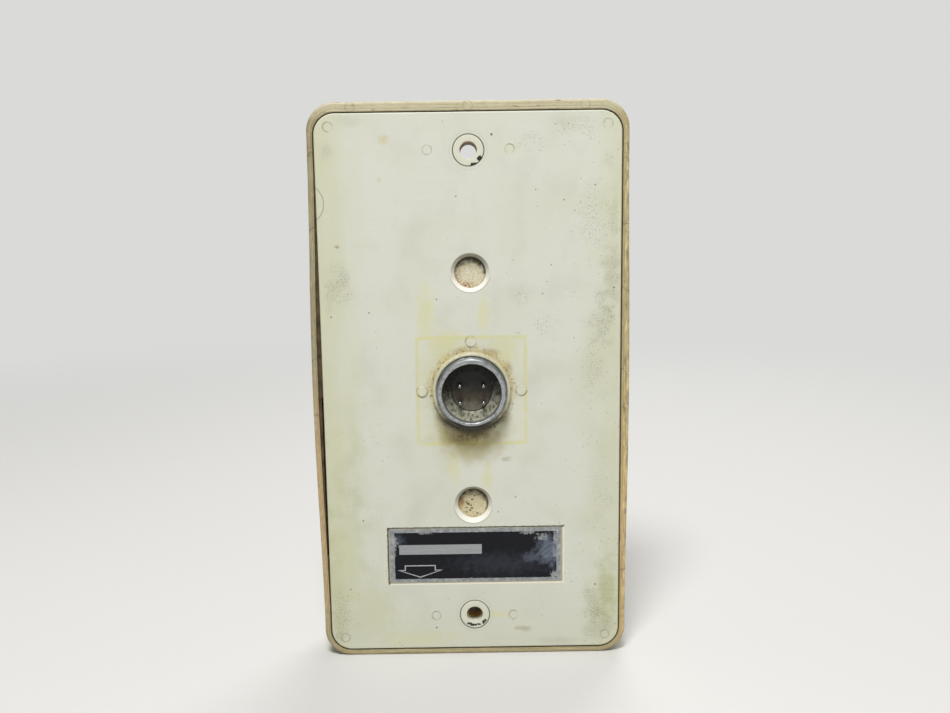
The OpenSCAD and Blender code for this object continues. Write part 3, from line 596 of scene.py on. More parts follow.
    # rusty specks close round the collar
    ringSpeck = add("MapRange", (fine, 0.03, 0.12))
    offCollar = add("Math:GREATER_THAN", (radius, 14.2))
    ringMask = maskFrom(add, (radius, 14.5, 16.7, 0.85, 0.0), ringSpeck, offCollar)
    amberRing = add("Math:MULTIPLY_ADD", (rough, 5.0, radius))
    upSide = add("MapRange", (axes[2], -6.0, 2.0, 0.2))
    masks.append((maskFrom(add, (amberRing, 14.3, 17.2, 0.6, 0.0), offCollar, upSide), "amber"))
    masks.append((ringMask, "rust"))
    masks.append((add("MapRange", (radius, 14.6, 14.3, 0.0, 0.4)), "collar"))
    # the lower side of the collar is darkened brown by painted shade with dirt, and near black at the bottom by painted
    # shadow with old grease
    lowSide = add("Math:MULTIPLY_ADD", (rough, 6.0, axes[2]))
    collarZone = add("MapRange", (add("Math:MULTIPLY_ADD", (fine, 4.0, radius)), 14.7, 16.5, 1.0, 0.0))
    masks.append((maskFrom(add, (lowSide, -3.5, -9.5, 0.0, 0.8), collarZone, clot), "shade"))
    masks.append((maskFrom(add, (lowSide, -8.6, -12.0, 0.0, 0.95), collarZone), "tarAndShadow"))
    # the label pocket holds dirt in its corners; a painted shadow line darkens its top and left edges
    pocketX, pocketZ = [
        add("Math:SUBTRACT", (offLevel(add, axes[axis], middle), half))
        for axis, middle, half in zip((0, 2), shared["labelMiddle"], shared["pocketHalf"])]
    pocketLine = add("Math:MAXIMUM", (pocketX, pocketZ))
    pocketEdge = add("Math:MULTIPLY_ADD", (fine, 0.8, pocketLine))
    masks.append((add("MapRange", (pocketEdge, 0.0, 0.25, 0.12, 0.0)), "brown"))
    topSide = add("Math:GREATER_THAN", (axes[2], -52.0))
    leftSide = add("Math:LESS_THAN", (axes[0], -31.5))
    shaded = add("Math:MAXIMUM", (topSide, leftSide))
    masks.append((maskFrom(add, (pocketEdge, 0.05, 0.4, 0.9, 0.0), shaded), "grimeAndShade"))
    # painted highlight: the lower and right edges of the pocket are painted pale where they catch the light
    paintedLipHighlight = offLevel(add, pocketLine, 0.22)
    lit = add("Math:SUBTRACT", (1.0, shaded))
    masks.append((maskFrom(add, (paintedLipHighlight, 0.16, 0.3, 0.9, 0.0), lit), "paintedLipHighlight"))
    # dirt line where each bushing sits in its hole
    mounts = add("CombineXYZ", {0: foldX, 2: foldZ})
    fromMount = add("VectorMath:DISTANCE", (mounts, (0, 0, shared["mountUp"])))
    masks.append((add("MapRange", (fromMount, 5.55, 5.9, 0.8, 0.0)), "grimeAndShade"))
    halo = offLevel(add, fromMount, 6.7)
    masks.append((add("MapRange", (halo, 0.05, 0.35, 0.1, 0.0)), "line"))
    # painted shade under the upper edge of each fill hole; a painted highlight keeps its lower chamfer white, with a
    # thin brown line outside
    for up in (shared["fillUp"], -shared["fillUp"]):
        bowl = add("VectorMath:DISTANCE", (plan, (0, 0, up)))
        rise = add("Math:SUBTRACT", (axes[2], up))
        upperHalf = add("MapRange", (rise, 0.5, 5.5))
        lowerHalf = add("MapRange", (rise, 0.0, -3.0))
        masks += [
            (maskFrom(add, (bowl, 6.75, 7.0, 0.7, 0.0), upperHalf), "shade"),
            (maskFrom(add, (bowl, 6.9, 7.05, 0.8, 0.0), lowerHalf), "paintedHighlight"),
            (maskFrom(add, (offLevel(add, bowl, 7.2), 0.03, 0.2, 0.6, 0.0), lowerHalf), "brown"),
        ]
    # ejector marks: shallow discs with a broken dirt line round them
    disc = fold(add, "MINIMUM", [
        add("VectorMath:DISTANCE", (mounts, place))
        for place in ((49.0, 0, 94.3), (14.5, 0, 86.0))])
    disc = add("Math:SUBTRACT", (disc, look["markRadius"]))
    discLine = add("Math:ABSOLUTE", (disc,))
    discBreak = add("MapRange", (rough, -0.08, 0.08, 0.15))
    masks.append((maskFrom(add, (discLine, 0.05, 0.35, 0.65, 0.0), discBreak), "line"))
    # dirt at the foot of the four raised pads
    pads = fold(add, "MINIMUM", [
        add("VectorMath:DISTANCE", (mounts, place))
        for place in ((18.0, 0, 0), (0, 0, 18.0))])
    pads = offLevel(add, pads, 2.0)
    masks.append((maskFrom(add, (pads, 0.05, 0.45, 0.75, 0.0), discBreak), "brown"))
    # fine specks everywhere, thicker down the right side, and the larger ones where they are
    # a speck in some cells of 1.1 mm
    away, cell = add("TexVoronoi", {"Vector": plan, "Scale": 1 / 1.1}, out=["Distance", "Color"], feature="F1")
    chance, heavy = add("SeparateColor", (cell,), out=["Red", "Green"])
    crowd = add("Math:MULTIPLY_ADD", (rough, 0.9, add("MapRange", (leftEdge, 28.0, 48.0, 0.985, 0.55))))
    corner = stain(add, mm, rough, (-50.0, -87.0), (6.0, 11.0), 0.3)  # more of them in the lower left corner
    crowd = add("Math:SUBTRACT", (crowd, corner))
    chosen = add("Math:GREATER_THAN", (chance, crowd))
    small = add("Math:MULTIPLY_ADD", (fine, 0.35, away))
    weight = add("MapRange", (heavy, 0.1, 1.0, 0.25, 0.9))
    small = maskFrom(add, (small, 0.06, 0.2, 1.0, 0.0), weight)
    specks = [add("Math:MULTIPLY", (small, chosen))]
    for x, z, size in (
        (8.2, 91.0, 0.55), (-4.6, 69.8, 0.35), (33.6, 68.1, 0.35), (44.6, 73.2, 0.35), (-12.1, 33.5, 0.35),
        (-36.4, 29.0, 0.35), (-50.1, 27.6, 0.4), (25.9, 35.1, 0.3), (29.0, 45.3, 0.3), (51.5, 36.9, 0.4),
        (23.6, 71.8, 0.3), (15.7, -40.1, 0.35), (9.2, -45.8, 0.3), (-14.5, -90.8, 0.45), (-40.9, -48.5, 0.4),
        (45.2, -74.5, 0.45), (-46.4, -75.2, 0.35), (33.4, -51.4, 0.5),
    ):
        away = add("VectorMath:DISTANCE", (plan, (x, 0, z)))
        specks.append(add("MapRange", (away, size * 0.4, size * 1.05, 0.85, 0.0)))
    masks.append((fold(add, "MAXIMUM", specks), "speck"))
    # one curved hair scratch by the left edge
    hair = offLevel(add, add("VectorMath:DISTANCE", (plan, (-58.5, 0, 67.8))), 7.2)
    masks.append((add("MapRange", (hair, 0.1, 0.28, 0.55, 0.0)), "line"))
    step = add("MapRange", (disc, -0.15, 0.1, -1.2, 0.0), interpolation_type="SMOOTHSTEP")
    lift = add("Math:MULTIPLY_ADD", (grain, 0.5, step))
    shade(add, {
        "Base Color": laidOver(add, look, look["base"], masks),
        "Roughness": add("MapRange", (rough, -0.2, 0.2, 0.42, 0.6)),
        "Normal": add("Bump", {"Height": lift, "Strength": 0.5, "Distance": 0.00012}),
        "IOR": 1.5,
    })
    return material


plateShape = {
    "halfWidth": 54.05, "halfLength": 98.9, "corner": 7.4, "back": -3.6,
    "edge": [(0.55, 0.0), (0.35, -0.03), (0.16, -0.14), (0.04, -0.32), (0.0, -0.55), (0.0, -3.6)],
    "bushingHole": [(5.72, 0.0), (5.6, -0.05), (5.52, -0.2), (5.5, -0.5), (5.5, -3.6)],
    "fillHole": [
        (7.08, 0.0), (6.98, -0.02), (6.89, -0.09), (6.8, -0.2), (6.3, -0.8), (5.85, -1.34), (5.72, -1.56),
        (5.66, -1.9), (5.65, -2.7), (5.65, -3.6)],
    "collar": [
        (14.6, 0.0), (14.4, 0.03), (14.25, 0.11), (14.15, 0.28), (14.1, 0.6), (14.06, 1.3), (13.97, 1.68),
        (13.75, 1.92), (13.45, 2.0), (13.2, 1.98), (13.02, 1.9), (12.9, 1.75), (12.84, 1.5), (12.82, 0.8),
        (13.0, 0.6), (13.0, -3.6)],
    "pads": [(-18.0, 0.0, 0.38), (18.0, 0.0, 0.26), (0.0, 18.0, 0.24), (0.0, -18.0, 0.22)],
    "padProfile": [(1.98, 0.0), (1.9, 0.2), (1.87, 0.75), (1.8, 0.95), (1.68, 1.0)],
    "pocketLip": [(0.12, 0.0), (0.03, -0.05), (0.0, -0.14), (0.0, -0.5)], "pocketCorner": 0.5,
    "ribHalf": 20.0, "ribThick": 1.8, "ribHigh": 4.0,
}


# rectangle with small round corners
def cardOutline(middle, halfWidth, halfHeight, radius, steps=6):
    points = []
    for sx, sy, start in ((1, 1, 0), (-1, 1, 90), (-1, -1, 180), (1, -1, 270)):
        for i in range(steps + 1):
            a = math.radians(start + 90 * i / steps)
            points.append((middle[0] + sx * (halfWidth - radius) + radius * math.cos(a),
                           middle[1] + sy * (halfHeight - radius) + radius * math.sin(a)))
    return points


def makeBasePlate(finish):
    s = plateShape
    bm = bmesh.new()
    edge = loft(bm, [
        [row(x, y, z) for x, y in bowedOutline(
            s["halfWidth"] - inset, inset - s["halfLength"], s["halfLength"] - inset, s["corner"] - inset)]
        for inset, z in s["edge"]])
    holes = []
    backHoles = []
    for profile, y in ((s["bushingHole"], shared["mountUp"]), (s["bushingHole"], -shared["mountUp"]),
                       (s["fillHole"], shared["fillUp"]), (s["fillHole"], -shared["fillUp"]), (s["collar"], 0.0)):
        rings = loft(bm, [roundRing(0, y, radius, z, 96) for radius, z in profile])
        holes.append(rings[0])
        backHoles.append(rings[-1])
    halfWidth, halfHeight = shared["pocketHalf"]
    pocket = loft(bm, [
        [row(x, y, z) for x, y in cardOutline(
            shared["labelMiddle"], halfWidth + grow, halfHeight + grow, s["pocketCorner"] + grow)]
        for grow, z in s["pocketLip"]])
    holes.append(pocket[0])
    closeFace(bm, pocket[-1])
    for x, y, high in s["pads"]:
        pad = loft(bm, [roundRing(x, y, radius, high * share, 40) for radius, share in s["padProfile"]])
        holes.append(pad[0])
        closeFace(bm, pad[-1])
    closeFace(bm, edge[0], holes)
    closeFace(bm, edge[-1], backHoles)
    # square rib on the back
    half = s["ribHalf"]
    wall = s["ribThick"]
    low = s["back"] - s["ribHigh"]
    root = s["back"] + 0.2
    loft(bm, [[row(x, y, z) for x, y in cardOutline((0, 0), size, size, 0.4)]
              for size, z in ((half, root), (half, low), (half - wall, low), (half - wall, root))], closed=True)
    return finishPiece("plate_face", bm, [finish], "base_plate")


makeBasePlate(makePlateFinish())
print("base plate made")

# Aluminium, turned and painted over: cream paint with black chips, and an amber stained bore, darkened deeper in by
# painted shade
bushingLook = {
    "paint": "#dddccb", "chip": "#24221d", "bore": "#cfa251", "deep": "#7f6232", "dull": "#c7c7ad",
    "chips": [
        ((4.2, 82.7), (1.3, 1.1)), ((2.2, 80.8), (1.7, 0.8)), ((-2.2, -89.3), (1.1, 0.5)),
        ((-0.7, -89.9), (1.6, 0.5)), ((1.4, -89.7), (1.0, 0.4)), ((3.3, -88.9), (0.6, 0.8)),
        ((3.9, -88.0), (0.5, 0.6))],
}


def makeBushingFinish():
    look = bushingLook
    material, add, mm = startFinish("aluminium_turned_painted")
    axes = add("SeparateXYZ", (mm,), out="XYZ")
    fine = unevenness(add, mm, 0.8, detail=5.0)
    foldZ = add("Math:ABSOLUTE", (axes[2],))
    plan = add("CombineXYZ", {0: axes[0], 2: foldZ})
    radius = add("VectorMath:DISTANCE", (plan, (0, 0, shared["mountUp"])))
    # overspray reaches a little way into the bore, further on its lower side
    spray = add("Math:MULTIPLY_ADD", (fine, 1.6, axes[1]))
    forward = add("Math:LESS_THAN", (axes[2], 0.0))
    spray = add("Math:MULTIPLY_ADD", (forward, -3.9, spray))
    inBore = add("Math:LESS_THAN", (radius, 3.06))
    bore = maskFrom(add, (spray, 0.35, 0.8), inBore)
    # painted shade: the bore gets darker deeper in
    deep = add("MapRange", (axes[1], 5.0, 13.0, 0.0, 0.85))
    rim = add("MapRange", (radius, 5.28, 5.42, 0.0, 0.7))
    dull = add("MapRange", (fine, -0.2, 0.2, 0.0, 0.35))
    chips = [(stain(add, mm, fine, middle, reach, 1.0, 1.6, 0.75), "chip") for middle, reach in look["chips"]]
    colour = laidOver(add, look, look["paint"], [(dull, "dull"), *chips, (rim, "chip"), (bore, "bore"), (deep, "deep")])
    shade(add, {
        "Base Color": colour,
        "Roughness": add("MapRange", (fine, -0.2, 0.2, 0.4, 0.6)),
        "Normal": add("Bump", {"Height": fine, "Strength": 0.2, "Distance": 0.0001}),
    })
    return material


bushingShape = {
    "profile": [
        (3.0, -18.9), (3.0, -8.0), (3.0, -0.5), (3.01, -0.25), (3.05, -0.1), (3.12, -0.03), (3.22, 0.0), (3.6, 0.0),
        (4.6, 0.0), (5.15, 0.0), (5.32, -0.05), (5.41, -0.18), (5.44, -0.5), (5.44, -3.6), (7.4, -3.6), (7.5, -3.7),
        (7.5, -18.8), (7.4, -18.9), (3.0, -18.9)],
}


def makeBushing(name, node, y, finish):
    bm = bmesh.new()
    loft(bm, [roundRing(0, y, radius, z, 80) for radius, z in bushingShape["profile"]])
    bmesh.ops.remove_doubles(bm, verts=bm.verts, dist=1e-7)
    return finishPiece(name, bm, [finish], node)


bushingFinish = makeBushingFinish()
makeBushing("aft_spacer", "aft_bushing", shared["mountUp"], bushingFinish)
makeBushing("forward_spacer", "forward_bushing", -shared["mountUp"], bushingFinish)
print("bushings made")

# Aluminium foil, printed black: a dull silver frame, a dense satin field, and bright scuffs where the print has gone
foilLook = {
    "foil": "#969a9c", "bright": "#c6c9c9", "print": "#16171d", "box": "#b4b7ba", "boxLine": "#9da0a4",
    "tan": "#c2bba2", "haze": "#7c8494", "bareLow": "#a7aaac", "bareHigh": "#d0d3d3",
    "paintHalf": (31.9, 10.4), "fieldMiddle": (0.6, -62.5), "fieldHalf": (30.2, 9.0), "boxMiddle": (-12.5, -60.1),
    "boxHalf": (15.4, 1.85),
}


def makeFoilFinish():
    look = foilLook
    material, add, mm = startFinish("aluminium_foil_printed")
    rough = unevenness(add, mm, 2.2, detail=6.0)
    fine = unevenness(add, mm, 0.6, detail=5.0)
    brushed = unevenness(add, mm, 0.5, stretch=(24, 1, 1), detail=3.0)
    turned = add("Mapping", {"Vector": mm, "Rotation": (0, math.radians(35), 0)})
    scratch = unevenness(add, turned, 0.4, stretch=(9, 1, 1), detail=5.0)

    def card(middle, half, soft):
        where = add("VectorMath:ABSOLUTE", (add("VectorMath:SUBTRACT", (mm, (middle[0], 0, middle[1]))),))
        where = add("VectorMath:SUBTRACT", (where, (half[0], 0, half[1])))
        beyond = add("Math:MULTIPLY_ADD", (fine, soft, add("Math:MAXIMUM", add("SeparateXYZ", (where,), out="XZ"))))
        return add("MapRange", (beyond, -0.06, 0.06, 1.0, 0.0))

    printMask = card(look["fieldMiddle"], look["fieldHalf"], 0.5)
    boxMask = card(look["boxMiddle"], look["boxHalf"], 0.1)
    # chips that took the print off, worst at both ends
    chip = unevenness(add, mm, 0.9, detail=6.0)
    worn = []
    for middle, reach, strength in (
        ((30.2, -62.0), (1.4, 2.6), 0.8), ((30.6, -57.0), (1.3, 4.0), 0.8), ((-30.0, -57.5), (1.8, 2.6), 1.0),
        ((-30.3, -60.5), (1.4, 1.8), 1.0), ((-30.4, -70.6), (1.2, 0.9), 0.8), ((25.5, -56.0), (2.4, 1.6), 0.8),
        ((0.6, -72.2), (4.0, 0.8), 0.8), ((20.0, -54.0), (2.5, 0.8), 0.7), ((-18.0, -53.6), (3.0, 0.6), 0.7),
        ((30.0, -70.5), (1.4, 1.6), 0.9),
    ):
        worn.append(stain(add, mm, chip, middle, reach, strength, 3.2, 0.5))
    worn = fold(add, "MAXIMUM", worn)
    # rubbed print has a bluish haze, in slanting strokes
    strokes = add("MapRange", (scratch, -0.16, 0.2, 0.5))
    haze = []
    for middle, reach, strength in (
        ((28.5, -61.0), (7.5, 8.5), 0.9), ((22.0, -63.5), (6.0, 3.0), 0.5), ((-28.5, -56.5), (3.5, 3.0), 0.5),
        ((10.0, -66.0), (26.0, 6.0), 0.12),
    ):
        haze.append(stain(add, mm, rough, middle, reach, strength, 1.4, grit=strokes))
    haze = add("Math:MULTIPLY", (fold(add, "MAXIMUM", haze), printMask))
    kept = add("Math:SUBTRACT", (1.0, worn))
    notBox = add("Math:SUBTRACT", (1.0, boxMask))
    inked = fold(add, "MULTIPLY", [printMask, kept, notBox])
    glint = add("MapRange", (rough, -0.1, 0.2, 0.0, 0.9))
    lines = add("MapRange", (brushed, -0.2, 0.2, 0.0, 0.6))
    colour = laidOver(add, look, look["foil"], [(glint, "bright")])
    silverBox = laidOver(add, look, look["box"], [(lines, "boxLine")])
    colour = add("Mix", {0: boxMask, 6: colour, 7: silverBox}, data_type="RGBA")
    edge = card(shared["labelMiddle"], look["paintHalf"], 0.6)
    bare = add("Math:SUBTRACT", (1.0, edge))
    colour = laidOver(add, look, colour, [(bare, "tan"), (inked, "print"), (haze, "haze")])
    lift = add("Math:MULTIPLY_ADD", (worn, -0.4, rough))
    shade(add, {
        "Base Color": colour,
        "Metallic": add("MapRange", (inked, 0.0, 1.0, 0.85, 0.0)),
        "Specular IOR Level": add("MapRange", (inked, 0.0, 1.0, 0.5, 0.18)),
        "Roughness": add("MapRange", (rough, -0.2, 0.2, 0.34, 0.52)),
        "Normal": add("Bump", {"Height": lift, "Strength": 0.35, "Distance": 0.0002}),
    })
    return material


# Aluminium foil, left bare by the print: a dull pale line
def makeBareFoilFinish():
    look = foilLook
    material, add, mm = startFinish("aluminium_foil_bare")
    fine = unevenness(add, mm, 0.5, detail=5.0)
    glint = add("MapRange", (fine, -0.2, 0.2))
    shade(add, {
        "Base Color": laidOver(add, look, look["bareLow"], [(glint, "bareHigh")]),
        "Roughness": add("MapRange", (fine, -0.2, 0.2, 0.35, 0.5)),
        "Metallic": 0.7,
    })
    return material


nameplateShape = {
    "half": (32.3, 10.6), "corner": 0.8, "low": -0.5, "top": -0.2, "edge": [(0.0, -0.08), (0.05, -0.02), (0.14, 0.0)],
    # plain outline arrow to the forward end
    "arrowAt": (-20.2, -66.3), "arrowLine": 0.4,
    "arrow": [(-5.6, 0.0), (5.6, 0.0), (5.6, -1.8), (7.9, -1.8), (0.0, -4.5), (-7.9, -1.8), (-5.6, -1.8)],
}


def makeNameplate(finishes):
    s = nameplateShape
    bm = bmesh.new()
    rings = loft(bm, [
        [row(x, y, z) for x, y in cardOutline(
            shared["labelMiddle"], s["half"][0] - inset, s["half"][1] - inset, s["corner"] - inset)]
        for inset, z in [(0.0, s["low"])] + [(inset, s["top"] + drop) for inset, drop in s["edge"]]])
    closeFace(bm, rings[0])
    closeFace(bm, rings[-1], spacing=2.0, height=lambda x, y: s["top"] + 0.02 * noise.noise((x * 0.2, y * 0.2, 1.0)))
    # the arrow's line has a constant width round its outline
    path = [Vector(p) for p in s["arrow"]]
    count = len(path)
    outerLine = []
    innerLine = []
    for i, point in enumerate(path):
        before = (point - path[i - 1]).normalized()
        after = (path[(i + 1) % count] - point).normalized()
        side = Vector((before.y, -before.x)) + Vector((after.y, -after.x))
        side = side / max(0.25, side.length_squared) * 2
        outerLine.append(point - side * s["arrowLine"] / 2)
        innerLine.append(point + side * s["arrowLine"] / 2)
    at = Vector(s["arrowAt"])
    low, top = s["top"] - 0.05, s["top"] + 0.035
    arrow = loft(bm, [[row(at.x + p.x, at.y + p.y, z) for p in loop] for loop, z in (
        (outerLine, low), (outerLine, top), (innerLine, top), (innerLine, low))], closed=True)
    for vert in sum(arrow, []):
        for face in vert.link_faces:
            face.material_index = 1
    return finishPiece("data_plate", bm, finishes, "nameplate")


makeNameplate([makeFoilFinish(), makeBareFoilFinish()])
print("data plate made")

# Aluminium, turned and zinc plated: dull grey with a brighter worn rim, grime and painted shade low down, and painted
# shade with old grease high in the socket
shellLook = {
    "plate": "#8f9192", "worn": "#d3d7d8", "dark": "#595a55", "grimeAndShade": "#4a4230", "inside": "#acab98",
    "shadeAndGrease": "#0c0b08", "olive": "#4b4a2d", "low": "#3b3a34",
}


def makeShellFinish():
    look = shellLook
    material, add, mm = startFinish("aluminium_turned_zinc_plated")
    axes = add("SeparateXYZ", (mm,), out="XYZ")
    rough = unevenness(add, mm, 2.5, detail=5.0)
    fine = unevenness(add, mm, 0.5, detail=4.0)
    plan = add("Mapping", {"Vector": mm, "Scale": (1, 0, 1)})
    radius = add("VectorMath:LENGTH", (plan,))
    blot = add("MapRange", (rough, -0.05, 0.2, 0.0, 0.7))
    rimPlace = add("Math:MULTIPLY_ADD", (rough, 1.5, axes[1]))
    # only the inner edge of the rim is worn bright
    brightEdge = add("MapRange", (radius, 12.1, 11.5, 0.3))
    rim = maskFrom(add, (rimPlace, -5.3, -5.95, 0.0, 0.85), brightEdge)
    deep = add("MapRange", (axes[1], -5.3, -1.5))
    inside = maskFrom(add, (radius, 10.95, 10.5, 0.0, 0.96), deep)
    # painted shade with grime darkens the barrel's outside low down and round its foot
    low = add("Math:MULTIPLY_ADD", (fine, 5.0, axes[2]))
    under = add("MapRange", (low, 3.0, -8.0, 0.15))
    outside = add("Math:GREATER_THAN", (radius, 11.75))
    foot = maskFrom(add, (axes[1], -3.8, -2.0, 0.0, 0.75), under, outside)
    lowMask = maskFrom(add, (low, -7.0, -11.0, 0.0, 0.95), outside)
    # painted shade, with old grease, darkens the upper half of the socket
    greasyShade = add("Math:MULTIPLY_ADD", (rough, 8.0, axes[2]))
    greasyShade = add("Math:MULTIPLY_ADD", (axes[0], -0.12, greasyShade))  # more on the left
    shadeAndGreaseMask = maskFrom(add, (greasyShade, -8.5, 2.6), inside)
    # olive streaks of dried grease run into the socket
    olive = unevenness(add, mm, 0.9, stretch=(1, 7, 1.4), detail=4.0)
    oliveMask = maskFrom(add, (olive, -0.02, 0.12, 0.0, 0.8), inside)
    # turning lines run round the rim
    nick = maskFrom(add, (unevenness(add, mm, 0.9, detail=6.0), 0.02, 0.12, 0.0, 0.55), rim)
    turning = unevenness(add, add("CombineXYZ", (radius, axes[1])), 0.16, detail=3.0)
    turnMask = add("MapRange", (turning, -0.02, 0.2, 0.0, 0.8))
    colour = laidOver(add, look, look["plate"], [
        (blot, "dark"), (rim, "worn"), (turnMask, "dark"), (nick, "dark"), (inside, "inside"), (oliveMask, "olive"),
        (shadeAndGreaseMask, "shadeAndGrease"), (lowMask, "low"), (foot, "grimeAndShade"),
    ])
    shine = add("Math:MULTIPLY_ADD", (inside, 0.35, add("MapRange", (rough, -0.2, 0.2, 0.42, 0.64))))
    soiled = add("Math:MAXIMUM", (foot, inside))
    shade(add, {
        "Base Color": colour,
        "Roughness": shine,
        "Metallic": add("MapRange", (soiled, 0.0, 1.0, 0.9, 0.05)),
        "Normal": add("Bump", {"Height": fine, "Strength": 0.45, "Distance": 0.0001}),
    })
    return material


shellShape = {
    "threadRadius": 12.7, "threadPitch": 1.27, "threadDeep": 0.55, "threadLow": 2.1, "threadTop": 5.1, "rim": 6.0,
    "insertRadius": 7.5, "barrelRadius": 9.5, "barrelLow": -8.4, "keyWidth": 2.4, "keyDeep": 0.8,
    "flangeHalf": 16.25, "flangeCorner": 1.5, "flangeLow": -6.4, "flangeTop": -4.4, "flangeBore": 12.2,
    "screwAt": 12.3, "screwRadius": 1.4, "steps": 240, "wear": 0.05, "nicks": 0.14,
    # rounded rim, from the thread over the crest into the socket: radius, and how far below the crest
    "rimProfile": [
        (12.62, 0.58), (12.48, 0.38), (12.32, 0.21), (12.12, 0.09), (11.9, 0.02), (11.5, 0.0), (11.05, 0.02),
        (10.86, 0.1),
        (10.74, 0.27), (10.66, 0.55), (10.62, 0.9), (10.6, 1.3), (10.6, 2.0), (10.6, 2.8), (10.6, 3.6)],
    "socketFloor": [
        (10.6, 1.7), (10.45, 1.48), (10.2, 1.4), (9.2, 1.4), (8.0, 1.42), (7.7, 1.36), (7.5, 1.1), (7.5, -2.0)],
}


def makeShell(finish):
    s = shellShape
    bm = bmesh.new()
    profile = [
        (s["insertRadius"], s["barrelLow"]), (s["barrelRadius"], s["barrelLow"]), (s["barrelRadius"], s["flangeLow"]),
        (s["threadRadius"], s["flangeLow"]), (s["threadRadius"], s["flangeTop"]), (s["threadRadius"], 0.0)]
    z = 0.3
    while z < s["rim"] - 0.6:
        profile.append((s["threadRadius"], z))
        z += 0.105
    inside = len(profile) + 5  # rings from the rim's crest on
    profile += [(radius, s["rim"] - drop) for radius, drop in s["rimProfile"]]
    profile += [*s["socketFloor"], (s["insertRadius"], s["barrelLow"])]
    rings = []
    for index, (radius, z) in enumerate(profile):
        ring = []
        for i in range(s["steps"]):
            a = 2 * math.pi * i / s["steps"]
            r = radius
            if index < inside and s["threadLow"] < z < s["threadTop"]:
                turn = (z / s["threadPitch"] + i / s["steps"]) % 1.0
                fade = min(1.0, (z - s["threadLow"]) / 0.5, (s["threadTop"] - z) / 0.5)
                r -= s["threadDeep"] * fade * max(0.0, min(1.0, 2.2 * (0.62 - abs(2 * turn - 1))))
            # the key slot at the top of the socket
            if index > inside + 2 and 1.6 < z < s["rim"] - 0.3 and math.sin(a) > 0 and radius > 10:
                off = abs(radius * math.cos(a)) - s["keyWidth"] / 2
                r += s["keyDeep"] * max(0.0, min(1.0, 0.5 - off / 0.3))
            # the rim is worn, and its inner edge is nicked by plugs
            wear = 0.0
            if z > s["rim"] - 0.8:
                wear = s["wear"] * noise.noise((math.cos(a) * 3, math.sin(a) * 3, z * 0.5))
                if index > inside:
                    wear += s["nicks"] * noise.noise((math.cos(a) * 16, math.sin(a) * 16, z))
            ring.append(row((r + wear) * math.cos(a), (r + wear) * math.sin(a), z + 0.5 * wear))
        rings.append(ring)
    loft(bm, rings)
    bmesh.ops.remove_doubles(bm, verts=bm.verts, dist=1e-7)
    # square flange behind the plate
    faces = (s["flangeLow"], s["flangeTop"])
    square = cardOutline((0, 0), s["flangeHalf"], s["flangeHalf"], s["flangeCorner"])
    outer = loft(bm, [[row(x, y, z) for x, y in square] for z in faces])
    holes = [loft(bm, [roundRing(0, 0, s["flangeBore"], z, 64) for z in faces])]
    for x in (s["screwAt"], -s["screwAt"]):
        for y in (s["screwAt"], -s["screwAt"]):
            holes.append(loft(bm, [roundRing(x, y, s["screwRadius"], z, 24) for z in faces]))
    closeFace(bm, outer[0], [h[0] for h in holes])
    closeFace(bm, outer[1], [h[1] for h in holes])
    return finishPiece("receptacle_shell", bm, [finish], "connector_shell", sharp=50)


makeShell(makeShellFinish())
print("receptacle shell made")

